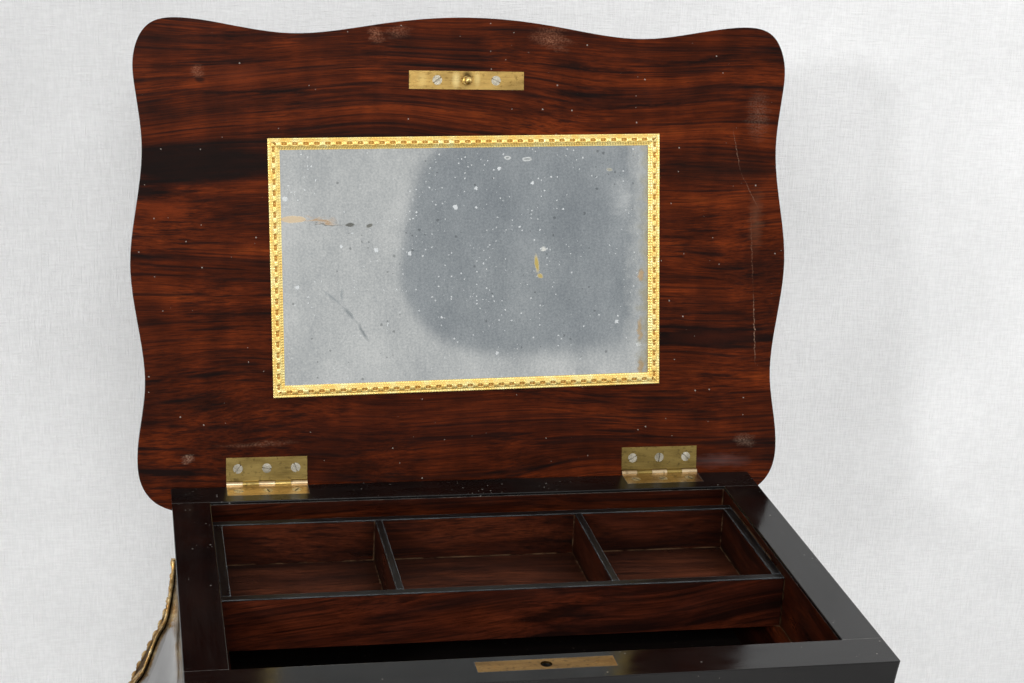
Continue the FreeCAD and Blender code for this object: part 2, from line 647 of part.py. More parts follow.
board("tray_end_right", "Sizes.tray_wall", INSIDE_DEPTH, "Sizes.tray_height",
      (END_RIGHT, INSIDE_FRONT, TRAY_LOW), "Sizes.tray_arris")
board("tray_floor", TRAY_LENGTH + " - 2 * Sizes.tray_wall", INSIDE_DEPTH, "Sizes.tray_floor_thickness",
      (TRAY_LEFT + " + Sizes.tray_wall", INSIDE_FRONT, TRAY_LOW), "Sizes.tray_arris")
board("tray_divider_left", "Sizes.divider_thickness", INSIDE_DEPTH, DIVIDER_HEIGHT,
      (TRAY_LEFT + " + Sizes.tray_wall + Sizes.end_compartment", INSIDE_FRONT, DIVIDER_LOW),
      "Sizes.tray_arris")
board("tray_divider_right", "Sizes.divider_thickness", INSIDE_DEPTH, DIVIDER_HEIGHT,
      (END_RIGHT + " - Sizes.end_compartment - Sizes.divider_thickness", INSIDE_FRONT, DIVIDER_LOW),
      "Sizes.tray_arris")

# Lid, in the frame of the closed lid: it reaches past the case on all sides
lid_half_width = half_width + mm.lid_side_overhang
lid_length = mm.lid_back_overhang + axis_y + half_depth + mm.lid_front_overhang
# Right half of its outline from the middle of the front edge to the straight part of the back edge:
# share of the half width, share of the length from the back edge
lid_shares = (
    (0, 1), (0.282, 0.983), (0.535, 0.9635), (0.734, 0.981), (0.832, 0.9896), (0.9375, 0.9776),
    (0.9846, 0.909), (0.9808, 0.858), (0.9623, 0.741), (1, 0.505), (0.963, 0.258), (0.9876, 0.118),
    (0.974, 0.0623), (0.934, 0.028), (0.866, 0.009), (0.772, 0),
)
lid_face = mm.lid_gap / 2
board_face = lid_face + mm.veneer_thickness
lid_top = board_face + mm.lid_board_thickness


def lid_sheet(low, high):
    """The lid's outline made solid between two heights."""
    points = [
        Vector(across * lid_half_width, mm.lid_back_overhang - along * lid_length, low)
        for across, along in lid_shares
    ]
    curve = Part.BSplineCurve()
    curve.interpolate(Points=points, InitialTangent=Vector(1, 0, 0), FinalTangent=Vector(-1, 0, 0))
    right = curve.toShape()
    left = mirrored(right)
    back = Part.makeLine(points[-1], Vector(-points[-1].x, points[-1].y, low))
    face = Part.Face(Part.Wire(Part.__sortEdges__([right, back, left])))
    return face.extrude(Vector(0, 0, high - low))


def barrel(radius, start, end):
    """A cylinder on the hinge axis."""
    return Part.makeCylinder(radius, end - start, Vector(start, 0, 0), Vector(1, 0, 0))


mirror_width = 2 * (half_width - mm.mirror_side_margin)
mirror_height = strike_reach - mm.mirror_hinge_margin - mm.mirror_strike_margin
mirror_reach = mm.mirror_hinge_margin + mirror_height / 2
mirror_placement = Placement(Vector(0, -mirror_reach, 0), Rotation(Vector(0, 0, 1), mm.mirror_skew))
glass_width = mirror_width - 2 * (mm.moulding_width - mm.moulding_lap)
glass_height = mirror_height - 2 * (mm.moulding_width - mm.moulding_lap)
glass_room = corner_box(
    Vector(-glass_width / 2 - mm.glass_clearance, -glass_height / 2 - mm.glass_clearance, 0),
    Vector(glass_width / 2 + mm.glass_clearance, glass_height / 2 + mm.glass_clearance,
           lid_face + mm.glass_thickness + mm.glass_clearance))
glass_room.Placement = mirror_placement.multiply(glass_room.Placement)
strike_face = lid_face - mm.strike_proud
strike_middle = Vector(mm.lock_offset, -strike_reach, strike_face)
strike_screw_places = [strike_middle + Vector(side * mm.strike_screw_offset, 0, 0) for side in (-1, 1)]
strike_pin_places = [strike_middle + Vector(side * mm.strike_pin_offset, 0, 0) for side in (-1, 1)]
strike_half = Vector(mm.strike_length / 2, mm.strike_width / 2, 0)
stud_hole = Part.makeCylinder(mm.stud_neck_radius + slack, mm.stud_shank + slack, strike_middle)
strike_holes = [stud_hole] + spread(screw(slack), strike_screw_places, over=True) + spread(
    pin(slack), strike_pin_places, over=True)
strike_seat = corner_box(strike_middle - strike_half - Vector(slack, slack, 0),
                         strike_middle + strike_half + Vector(slack, slack, board_face - strike_face))
barrel_room = [
    barrel(mm.knuckle_radius + mm.knuckle_clearance,
           side * hinge_offset - mm.hinge_length / 2 - slack,
           side * hinge_offset + mm.hinge_length / 2 + slack)
    for side in (-1, 1)
]
lid_leaf_seats = [
    seat.common(corner_box(Vector(-reach, -reach, 0), Vector(reach, 0, lid_top)))
    for seat in leaf_seats(0, lid_face + mm.leaf_thickness)
]
hinge_cuts = barrel_room + lid_leaf_seats + spread(screw(slack), lid_screw_places, over=True)

lid_board = lid_sheet(board_face, lid_top)
lid_board = lid_board.makeFillet(
    mm.lid_edge_radius, [e for e in lid_board.Edges if e.BoundBox.ZMin > lid_top - mm.lid_edge_radius])
keep("lid_board", cut_all(lid_board, [glass_room] + hinge_cuts + strike_holes), lid_placement)
seam_y = mm.mirror_strike_margin - strike_reach
lid_veneer = lid_sheet(lid_face, board_face)
beyond_seam = corner_box(Vector(-reach, -2 * reach, 0), Vector(reach, seam_y, lid_top))
keep("lid_veneer_lower", cut_all(lid_veneer.cut(beyond_seam), [glass_room] + hinge_cuts), lid_placement)
keep("lid_veneer_upper", lid_veneer.common(beyond_seam).cut(strike_seat), lid_placement)


def moulding(length):
    """A gilt moulding with mitred ends, its outer edge on the X axis and its back at zero."""
    width = mm.moulding_width
    crown = Part.Arc(Vector(0, 0, -mm.moulding_edge), Vector(0, width / 2, -mm.moulding_crown),
                     Vector(0, width, -mm.moulding_sight)).toShape()
    sides = Part.makePolygon([Vector(0, width, -mm.moulding_sight), Vector(0, width, 0), Vector(),
                              Vector(0, 0, -mm.moulding_edge)])
    section = Part.Face(Part.Wire([crown] + sides.Edges))
    section.translate(Vector(-length / 2, 0, 0))
    run = section.extrude(Vector(length, 0, 0))
    plan = [Vector(-length / 2, 0, 0), Vector(length / 2, 0, 0), Vector(length / 2 - width, width, 0),
            Vector(width - length / 2, width, 0), Vector(-length / 2, 0, 0)]
    return run.common(Part.Face(Part.makePolygon(plan)).extrude(Vector(0, 0, -mm.moulding_crown)))


def laid_glass():
    """The mirror glass in the frame of the mirror."""
    return corner_box(Vector(-glass_width / 2, -glass_height / 2, lid_face),
                      Vector(glass_width / 2, glass_height / 2, lid_face + mm.glass_thickness))


mirror_frame = lid_placement.multiply(mirror_placement)
keep("mirror_glass", laid_glass(), mirror_frame)
for name, length, away, degrees in (
        ("top", mirror_width, mirror_height, 0), ("right", mirror_height, mirror_width, 90),
        ("bottom", mirror_width, mirror_height, 180), ("left", mirror_height, mirror_width, 270)):
    side = Placement(Vector(), Rotation(Vector(0, 0, 1), degrees))
    edge = Placement(Vector(0, -away / 2, lid_face), Rotation())
    keep(f"mirror_moulding_{name}", moulding(length), mirror_frame.multiply(side).multiply(edge))

strike_plate = corner_box(strike_middle - strike_half, strike_middle + strike_half
                          + Vector(0, 0, board_face - strike_face))
keep("strike_plate", cut_all(strike_plate, strike_holes), lid_placement)
stud = Part.makeCylinder(mm.stud_neck_radius, mm.stud_shank + mm.stud_reach,
                         strike_middle - Vector(0, 0, mm.stud_reach))
stud = stud.fuse(Part.makeSphere(mm.stud_ball_radius, strike_middle - Vector(0, 0, mm.stud_reach)))
stud = stud.fuse(Part.makeCylinder(mm.stud_collar_radius, mm.stud_collar_height,
                                   strike_middle - Vector(0, 0, mm.stud_collar_height)))
keep("strike_stud", stud.removeSplitter(), lid_placement)
keep("strike_screws", Part.Compound(spread(screw(), strike_screw_places, over=True)), lid_placement)
keep("strike_pins", Part.Compound(spread(pin(), strike_pin_places, over=True)), lid_placement)


# Hinges, about their axis: the rim leaf holds the odd knuckles and the lid leaf the even ones
def leaf(side, first_knuckle, screw_holes):
    """One leaf with its knuckles; side is -1 under the joint and 1 over it."""
    near, far = side * mm.lid_gap / 2, side * (mm.lid_gap / 2 + mm.leaf_thickness)
    half = mm.hinge_length / 2
    plate = corner_box(Vector(-half, -mm.leaf_width, min(near, far)), Vector(half, 0, max(near, far)))
    pitch = mm.hinge_length / KNUCKLES
    for knuckle in range(KNUCKLES):
        start, end = knuckle * pitch - half, (knuckle + 1) * pitch - half
        if knuckle % 2 == first_knuckle:
            plate = plate.fuse(barrel(mm.knuckle_radius, start, end))
        else:
            plate = plate.cut(barrel(mm.knuckle_radius + mm.knuckle_clearance, start - mm.knuckle_side_gap,
                                     end + mm.knuckle_side_gap))
    plate = plate.cut(barrel(mm.hinge_pin_radius + mm.hinge_pin_clearance, -half, half))
    return cut_all(plate.removeSplitter(), screw_holes)


leaf_places = [Vector(step * mm.hinge_screw_pitch, -mm.hinge_screw_row, 0) for step in (-1, 0, 1)]
under = [place - Vector(0, 0, mm.lid_gap / 2) for place in leaf_places]
above = [place + Vector(0, 0, mm.lid_gap / 2) for place in leaf_places]
rim_leaf = leaf(-1, 0, spread(screw(slack), under))
lid_leaf = leaf(1, 1, spread(screw(slack), above, over=True))
hinge_pin = barrel(mm.hinge_pin_radius, -mm.hinge_length / 2, mm.hinge_length / 2)
for name, side in (("left", -1), ("right", 1)):
    along_axis = Placement(Vector(side * hinge_offset, 0, 0), Rotation())
    on_rim = Placement(Vector(side * hinge_offset, axis_y, axis_z), Rotation())
    keep(f"hinge_{name}_rim_leaf", rim_leaf, on_rim)
    keep(f"hinge_{name}_pin", hinge_pin, on_rim)
    keep(f"hinge_{name}_lid_leaf", lid_leaf, lid_placement.multiply(along_axis))
keep("hinge_screws_rim", Part.Compound(spread(screw(), rim_screw_places)))
keep("hinge_screws_lid", Part.Compound(spread(screw(), lid_screw_places, over=True)), lid_placement)

doc.recompute()
failed = [o.Name for o in doc.Objects if "Invalid" in o.State or "Error" in o.State]
failed += [p.Label for p in pieces if p.Shape.isNull() or not p.Shape.isValid() or not p.Shape.Solids]
if failed:
    raise RuntimeError("failed: " + ", ".join(failed))
for piece in pieces:
    piece.Shape.exportStep(f"parts/{piece.Label}.step")
    print(piece.Label, len(piece.Shape.Solids), round(piece.Shape.Volume))
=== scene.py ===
import math

import bpy
import numpy as np
from mathutils import Matrix, Vector


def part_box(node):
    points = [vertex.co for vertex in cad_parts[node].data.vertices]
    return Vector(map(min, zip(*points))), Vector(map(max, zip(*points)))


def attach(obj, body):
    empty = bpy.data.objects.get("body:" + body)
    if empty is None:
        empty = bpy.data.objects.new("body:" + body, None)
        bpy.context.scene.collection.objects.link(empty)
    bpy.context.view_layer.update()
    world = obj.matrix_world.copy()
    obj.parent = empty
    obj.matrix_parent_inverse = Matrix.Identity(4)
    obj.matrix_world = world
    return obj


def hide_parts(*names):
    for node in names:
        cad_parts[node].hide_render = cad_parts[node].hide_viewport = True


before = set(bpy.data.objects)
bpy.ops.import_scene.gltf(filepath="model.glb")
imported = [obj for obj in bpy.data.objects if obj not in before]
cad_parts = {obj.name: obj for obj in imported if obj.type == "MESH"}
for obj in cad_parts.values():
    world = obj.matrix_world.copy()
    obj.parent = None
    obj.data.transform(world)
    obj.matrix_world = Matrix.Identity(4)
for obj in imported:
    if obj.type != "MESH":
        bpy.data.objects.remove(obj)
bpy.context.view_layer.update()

# Case and legs. Four cabriole legs of pearwood run up through the corners, and bombe panels sawn from the
# solid are glued between them. All of it is stained black and French polished.
MM = 0.001
PEARWOOD_STAIN = ("#060403", "#110b07", "#22160e")
LEGS = [f"leg_{end}_{side}" for end in ("back", "front") for side in ("left", "right")]
ACROSS, ALONG_DEPTH, UPRIGHT = (0, 0, 0), (0, 0, -math.pi / 2), (0, math.pi / 2, 0)


def linear(code):
    """The linear colour of an sRGB hex value such as #2b1a12."""
    parts = [int(code[start:start + 2], 16) / 255 for start in (1, 3, 5)]
    return tuple(p / 12.92 if p <= 0.04045 else ((p + 0.055) / 1.055) ** 2.4 for p in parts) + (1.0,)


def join(made, links):
    """Sets a node's sockets, given by name or number, to values, colours, or other nodes and sockets."""
    for key, value in links.items():
        socket = made.inputs[key] if isinstance(key, int) else next(
            s for s in made.inputs if s.enabled and s.name == key)
        if isinstance(value, bpy.types.Node):
            value = next(s for s in value.outputs if s.enabled)
        if isinstance(value, bpy.types.NodeSocket):
            made.id_data.links.new(value, socket)
        else:
            socket.default_value = linear(value) if isinstance(value, str) else value


def node(tree, kind, links=None, stops=None, **settings):
    """Adds one node with its settings and links; stops are a ramp's places with a colour or a grey."""
    made = tree.nodes.new("ShaderNode" + kind)
    for name, value in settings.items():
        setattr(made, name, value)
    if stops:
        elements = made.color_ramp.elements
        elements.remove(elements[1])
        elements[0].position = stops[0][0]
        for place, _ in stops[1:]:
            elements.new(place)
        for element, (_, colour) in zip(elements, stops):
            element.color = linear(colour) if isinstance(colour, str) else (colour, colour, colour, 1)
    join(made, links or {})
    return made


def new_finish(name, constants):
    """An empty material with one surface shader, whose constants stay on its own sockets."""
    finish = bpy.data.materials.new(name)
    finish.use_nodes = True
    tree = finish.node_tree
    tree.nodes.clear()
    shader = node(tree, "BsdfPrincipled", constants)
    node(tree, "OutputMaterial", {"Surface": shader})
    return finish, tree, shader


def dress(finish, *names):
    """Gives CAD pieces a finish."""
    for name in names:
        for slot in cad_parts[name].material_slots:
            slot.material = finish


def in_mm(tree, turn=ACROSS, at=(0, 0, 0)):
    """Places on the resting object in millimetres, turned so that the first one runs along the grain."""
    return node(tree, "Mapping", {
        "Vector": node(tree, "TexCoord").outputs["Object"], "Rotation": turn, "Location": at,
        "Scale": (1 / MM, 1 / MM, 1 / MM)})


def stretched(tree, place, along, across, detail=2.0):
    """Cloudy noise whose patches are this long and wide, in millimetres."""
    fine = node(tree, "Mapping", {"Vector": place, "Scale": (1 / along, 1 / across, 1 / across)})
    return node(tree, "TexNoise", {"Vector": fine, "Scale": 1.0, "Detail": detail, "Roughness": 0.55})


def specks(tree, place, spacing, radius, field, least, strength=1.0):
    """Ragged specks of this strength, with their spacing and largest radius in millimetres, sown only where
    the field is over its least value."""
    shake = 1.6 * radius
    ragged = node(tree, "VectorMath", {0: stretched(tree, place, radius, radius).outputs["Color"],
                                       1: (shake, shake, 0)}, operation="MULTIPLY")
    shaken = node(tree, "VectorMath", {0: place, 1: ragged}, operation="ADD")
    cell = node(tree, "TexVoronoi", {"Vector": shaken, "Scale": 1 / spacing})
    size = node(tree, "Math", {0: node(tree, "SeparateColor", {0: cell.outputs["Color"]}), 1: 3.0},
                operation="POWER")
    size = node(tree, "Math", {0: size, 1: radius / spacing}, operation="MULTIPLY")
    dot = node(tree, "Math", {0: cell.outputs["Distance"], 1: size}, operation="LESS_THAN")
    sown = node(tree, "Math", {0: field, 1: least}, operation="GREATER_THAN")
    seen = node(tree, "Math", {0: dot, 1: sown}, operation="MULTIPLY")
    return node(tree, "Math", {0: seen, 1: strength}, operation="MULTIPLY")


def rubbed(tree, radius):
    """How much an arris stands out within this radius, from 0 on a flat to about 1 on a sharp edge."""
    rounded = node(tree, "Bevel", {"Radius": radius}, samples=4)
    facing = node(tree, "VectorMath", {0: rounded, 1: node(tree, "NewGeometry").outputs["Normal"]},
                  operation="DOT_PRODUCT")
    return node(tree, "MapRange", {"Value": facing.outputs["Value"], "From Min": 0.995, "From Max": 0.86})


def ebonised(name, grain, clean, gloss=0.16, haze=0.07, stain=PEARWOOD_STAIN, arris_colour="#5a463a"):
    """Ebonised pearwood, French polished: nearly black with a warm depth and a hard gloss that wavers a
    little. Dust has settled on it, less where it is clean, and rubbed arrises take the arris colour: bare
    wood, and on the rims a pale grey that is painted highlight as well as wear."""
    finish, tree, shader = new_finish(name, {"IOR": 1.5, "Specular IOR Level": gloss})
    place = in_mm(tree, grain)
    clouds = stretched(tree, place, 90, 45)
    pores = stretched(tree, place, 9, 0.8, 2.0)
    grown = node(tree, "Mix", {"Factor": 0.45, "A": pores, "B": stretched(tree, place, 160, 6, 4.0)})
    stain = node(tree, "ValToRGB", {0: grown}, stops=list(zip((0.36, 0.5, 0.68), stain)))
    wear_and_shine = node(tree, "Math", {0: rubbed(tree, 0.9 * MM), 1: stretched(tree, place, 7, 4, 3.0)},
                operation="MULTIPLY")
    edge = node(tree, "MapRange", {"Value": wear_and_shine, "From Min": 0.28, "From Max": 0.56, "To Max": 0.65})
    wood = node(tree, "Mix", {"Factor": edge, "A": stain, "B": arris_colour}, data_type="RGBA")
    fallen = specks(tree, place, 3, 0.75, stretched(tree, place, 24, 24, 3.0), clean, 0.35)
    film = node(tree, "MapRange", {"Value": clouds, "From Min": 0.45, "From Max": 0.75, "To Max": 0.012})
    cover = node(tree, "Math", {0: fallen, 1: film}, operation="ADD", use_clamp=True)
    colour = node(tree, "Mix", {"Factor": cover, "A": wood, "B": "#b9b3aa"}, data_type="RGBA")
    smears = node(tree, "MapRange", {"Value": stretched(tree, place, 40, 16, 3.0), "From Min": 0.3,
                                     "From Max": 0.75, "To Min": haze, "To Max": haze + 0.14})
    matt = node(tree, "Math", {0: smears, 1: cover}, operation="ADD", use_clamp=True)
    pooled = node(tree, "Bump", {"Height": stretched(tree, place, 34, 20, 1.0), "Distance": 0.06 * MM})
    join(shader, {"Base Color": colour, "Roughness": matt,
                  "Normal": node(tree, "Bump", {"Height": pores, "Distance": 0.02 * MM, "Normal": pooled})})
    return finish


dress(ebonised("ebonised_pearwood_upright", UPRIGHT, 0.62), *LEGS)
dress(ebonised("ebonised_pearwood_across", ACROSS, 0.62), "case_front", "case_back")
dress(ebonised("ebonised_pearwood_deep", ALONG_DEPTH, 0.62, 0.5, 0.03), "case_side_left", "case_side_right")

# Rim. Four ebonised rails, glued and rebated over the linings, run round the well. Their inner arrises
# are dented from use and carry a pale grey line that is painted highlight as well as wear, and dust gathers
# on their flat tops.
# The pale grey on the rims' rubbed arrises is a painted highlight as well as wear.
RIM_STAIN, RIM_ARRIS_SHINE_AND_WEAR = ("#050404", "#0b0909", "#161312"), "#8f8c88"
dress(ebonised("ebonised_rim_front", ACROSS, 0.6, 0.36, 0.06, RIM_STAIN, RIM_ARRIS_SHINE_AND_WEAR), "rim_front")
dress(ebonised("ebonised_rim_back", ACROSS, 0.52, 0.36, 0.22, RIM_STAIN, RIM_ARRIS_SHINE_AND_WEAR), "rim_back")
dress(ebonised("ebonised_rim_sides", ALONG_DEPTH, 0.57, 0.36, 0.05, RIM_STAIN, RIM_ARRIS_SHINE_AND_WEAR),
      "rim_left", "rim_right")

# Corner mounts. Each is a thin leaf of gilt bronze, cast and chased, then folded over a corner of the case
# and pinned there: a midrib on the arris, and five pairs of lobes with veins and flutes.
MOUNT_TOP, MOUNT_LENGTH = 655 * MM, 226 * MM
# Lobes: how far down the leaf each tip lies, and how wide the lobe is, as shares
MOUNT_LOBES = ((0.07, 0.3), (0.24, 0.55), (0.45, 0.85), (0.66, 1.0), (0.86, 0.5))
MOUNT_HALF_WIDTH, CARVING, HUSK = 30 * MM, 2.9 * MM, 11.3 * MM
VEIN, LOBE, MIDRIB, BESIDE = 1.1 * MM, (3 * MM, 11 * MM), 2.2 * MM, (4.4 * MM, 1.2 * MM)


def worked_metal(name, low, high, groove, raised, metal=0.9):
    """Worked metal, cast, stamped or cut: light raised parts, dark hollows, and the uneven colour of an old
    gilding."""
    finish, tree, shader = new_finish(name, {"Metallic": metal})
    place = in_mm(tree)
    open_to_air = node(tree, "AmbientOcclusion", {"Distance": 2.0 * MM}, samples=6)
    depth = node(tree, "MapRange", {"Value": open_to_air.outputs["AO"], "From Min": 0.2, "From Max": 0.7})
    chased = node(tree, "Attribute", attribute_name="hollow").outputs["Fac"]
    filled = node(tree, "MapRange", {"Value": chased, "From Min": 0.25, "From Max": 0.9, "To Min": 1.0,
                                     "To Max": 0.12})
    depth = node(tree, "Math", {0: depth, 1: filled}, operation="MULTIPLY")
    gilding = node(tree, "ValToRGB", {0: stretched(tree, place, 9, 9, 4.0)},
                   stops=[(0.35, low), (0.5, high), (0.68, raised)])
    colour = node(tree, "Mix", {"Factor": depth, "A": groove, "B": gilding}, data_type="RGBA")
    shine = node(tree, "MapRange", {"Value": depth, "To Min": 0.62, "To Max": 0.27})
    join(shader, {"Base Color": colour, "Roughness": shine,
                  "Normal": node(tree, "Bump", {"Height": stretched(tree, place, 0.9, 0.9),
                                                "Distance": 0.05 * MM})})
    return finish


# Gilt bronze: a soft gold on the ribs, and brown where the chasing holds old dirt
gilt_bronze = worked_metal("cast_gilt_bronze", "#ab8049", "#cda569", "#2c1c0e", "#f0d6a4")


def remeshed(source, grain):
    """Vertices, normals and faces of a CAD piece, laid anew on an even grid of this grain."""
    copy = bpy.data.objects.new("casting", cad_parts[source].data.copy())
    bpy.context.scene.collection.objects.link(copy)
    remesh = copy.modifiers.new("even", "REMESH")
    remesh.mode, remesh.voxel_size = "VOXEL", grain
    soften = copy.modifiers.new("soften", "SMOOTH")
    soften.factor, soften.iterations = 0.5, 2
    even = bpy.data.meshes.new_from_object(copy.evaluated_get(bpy.context.evaluated_depsgraph_get()))
    bpy.data.objects.remove(copy)
    points = np.empty(len(even.vertices) * 3, np.float32)
    even.vertices.foreach_get("co", points)
    normals = np.empty(len(even.vertices) * 3, np.float32)
    even.vertex_normals.foreach_get("vector", normals)
    faces = [tuple(p.vertices) for p in even.polygons]
    bpy.data.meshes.remove(even)
    return points.reshape(-1, 3).astype(float), normals.reshape(-1, 3).astype(float), faces


def made_piece(name, points, faces, finish, body, slot, *stands_for, hollow=None):
    """A new smooth piece that rides on a body and stands for CAD pieces; hollow tells how far each of its
    vertices lies in the chasing, from 0 to 1."""
    mesh = bpy.data.meshes.new(name)
    mesh.from_pydata([tuple(p) for p in points], [], faces)
    if hollow is not None:
        mesh.attributes.new("hollow", "FLOAT", "POINT").data.foreach_set("value", hollow.astype(np.float32))
    mesh.polygons.foreach_set("use_smooth", [True] * len(mesh.polygons))
    mesh.materials.append(finish)
    mesh.update()
    piece = bpy.data.objects.new(name, mesh)
    bpy.context.scene.collection.objects.link(piece)
    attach(piece, body)
    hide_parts(*stands_for)
    return piece


def step(value, start, end):
    """A smooth rise from 0 at start to 1 at end."""
    share = np.clip((value - start) / (end - start), 0, 1)
    return share * share * (3 - 2 * share)


def hump(value, width):
    """A rounded ridge of height 1 where the value is 0."""
    return np.exp(-(value / width) ** 2)


def leaf_hollows(points, corner):
    """How deep the chasing of a corner mount goes at each point, from 0 on the ribs to 1."""
    out_x, out_y = np.abs(corner[0]) - np.abs(points[:, 0]), np.abs(corner[1]) - np.abs(points[:, 1])
    away = np.abs(out_x - out_y)
    down = (MOUNT_TOP - points[:, 2]) / MOUNT_LENGTH
    best, flute = np.full(len(points), 9.0), np.zeros(len(points))
    for tip, width in MOUNT_LOBES:
        reach = width * MOUNT_HALF_WIDTH
        rise = 0.1 + 0.1 * width
        vein = tip + rise * (1 - np.clip(away / reach, 0, 1)) ** 1.6
        off = (down - vein) * MOUNT_LENGTH
        nearer = np.abs(off) < np.abs(best)
        best = np.where(nearer, off, best)
        flute = np.where(nearer, off / (2 * MM), flute)
    lobe = step(np.abs(best), *LOBE)
    fine = 0.5 - 0.5 * np.cos(flute * 2.4)
    midrib = hump(away, MIDRIB)
    beside = hump(away - BESIDE[0], BESIDE[1])
    cut = 0.28 + 0.5 * lobe + 0.34 * fine - 0.6 * hump(best, VEIN)
    husk = (down * MOUNT_LENGTH / HUSK) % 1
    swell = np.sin(np.pi * np.clip(husk * 1.15, 0, 1)) ** 0.6
    husks = 0.9 * (1 - swell) + 0.25 * (husk > 0.62) * (husk < 0.74)
    return np.clip(cut * (1 - midrib) + husks * midrib + 0.7 * beside, 0, 1)


def carved(source, grain, depth, skin, hollows):
    """A casting with its outer skin pressed in towards the wood, its faces, and the hollows."""
    points, normals, faces = remeshed(source, grain)
    hollow = hollows(points) * step(skin(points, normals), 0.25, 0.8)
    return points - normals * depth * hollow[:, None], faces, hollow


for end in ("back", "front"):
    for side in ("left", "right"):
        mount = f"corner_mount_{end}_{side}"
        low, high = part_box(mount)
        corner = np.array([low.x if side == "left" else high.x, high.y if end == "back" else low.y])
        points, faces, hollow = carved(
            mount, 0.8 * MM, CARVING, lambda points, normals: (normals[:, :2] * np.sign(corner)).max(axis=1),
            lambda points: leaf_hollows(points, corner))
        made_piece(f"{mount}_leaf", points, faces, gilt_bronze, "carcase", "gilt_bronze", mount,
                   hollow=hollow)

# Sabots. Cast cups of the same gilt bronze, slid over the feet and pinned: upright gadroons over a plain
# band at the floor.
SABOT_TOP, SABOT_BAND, GADROONS, GADROON_DEPTH = 52 * MM, 12 * MM, 16, 1.5 * MM
SABOT_LIP, GADROON_END, SABOT_LINE = 6 * MM, (7 * MM, 11 * MM), 0.9 * MM


def outer_side(points, normals):
    """How far each normal points away from the upright line through the middle of the points."""
    away = points[:, :2] - (points[:, :2].min(axis=0) + points[:, :2].max(axis=0)) / 2
    away /= np.maximum(np.linalg.norm(away, axis=1, keepdims=True), MM)
    return (normals[:, :2] * away).sum(axis=1)


def gadroons(points):
    """Depth of the chasing of a sabot: upright flutes between a plain band and a raised upper lip."""
    away = points[:, :2] - (points[:, :2].min(axis=0) + points[:, :2].max(axis=0)) / 2
    turn = np.arctan2(away[:, 1], away[:, 0])
    height = points[:, 2]
    flute = 1 - np.abs(np.cos(turn * GADROONS / 2)) ** 0.7
    inside = step(height, SABOT_BAND, SABOT_BAND + 3 * MM)
    inside = inside * step(SABOT_TOP - height, *GADROON_END)
    lines = hump(height - SABOT_BAND + 1.5 * MM, SABOT_LINE)
    lines = lines + hump(height - SABOT_TOP + SABOT_LIP, SABOT_LINE)
    return np.clip((0.2 + 0.8 * flute) * inside + 0.8 * lines, 0, 1)


for end in ("back", "front"):
    for side in ("left", "right"):
        sabot = f"sabot_{end}_{side}"
        points, faces, hollow = carved(sabot, 0.7 * MM, GADROON_DEPTH, outer_side, gadroons)
        made_piece(f"{sabot}_cast", points, faces, gilt_bronze, "carcase", "gilt_bronze", sabot,
                   hollow=hollow)

# Escutcheon. A small oval gilt plate, bent to the front and pinned round the keyhole: a sunk field with
# rays between a raised border and a rim round the hole.
low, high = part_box("escutcheon")
OVAL, RAYS = ((low + high) / 2, (high - low) / 2), 18


def rays(points):
    """Depth of the chasing of the escutcheon."""
    flat = np.stack([(points[:, 0] - OVAL[0].x) / OVAL[1].x, (points[:, 2] - OVAL[0].z) / OVAL[1].z], -1)
    far, turn = np.linalg.norm(flat, axis=1), np.arctan2(flat[:, 1], flat[:, 0])
    field = step(far, 0.4, 0.5) * step(far, 0.86, 0.78)
    return np.clip(field * (0.35 + 0.65 * np.abs(np.sin(RAYS / 2 * turn))), 0, 1)


points, faces, hollow = carved("escutcheon", 0.3 * MM, 0.5 * MM, lambda points, normals: -normals[:, 1], rays)
made_piece("escutcheon_cast", points, faces, gilt_bronze, "carcase", "gilt_bronze", "escutcheon",
           hollow=hollow)

# Well. Thin rosewood linings stand on a stained floor and are glued to the case; the side linings carry
# the two runners of the tray.
ROSEWOOD = ((0.3, "#240d07"), (0.42, "#3d180b"), (0.53, "#55230f"), (0.64, "#6c3015"), (0.8, "#88421c"))
BANDS, MOTTLE, FIBRES, HAIRS = (900, 30, 4.0), (34, 12, 4.0), (110, 1.5, 3.0), (45, 0.65)
NEEDLES, STREAKS, PORES = (420, 3.2, 3.0), (800, 13, 4.0), (7, 0.5, 1.0)


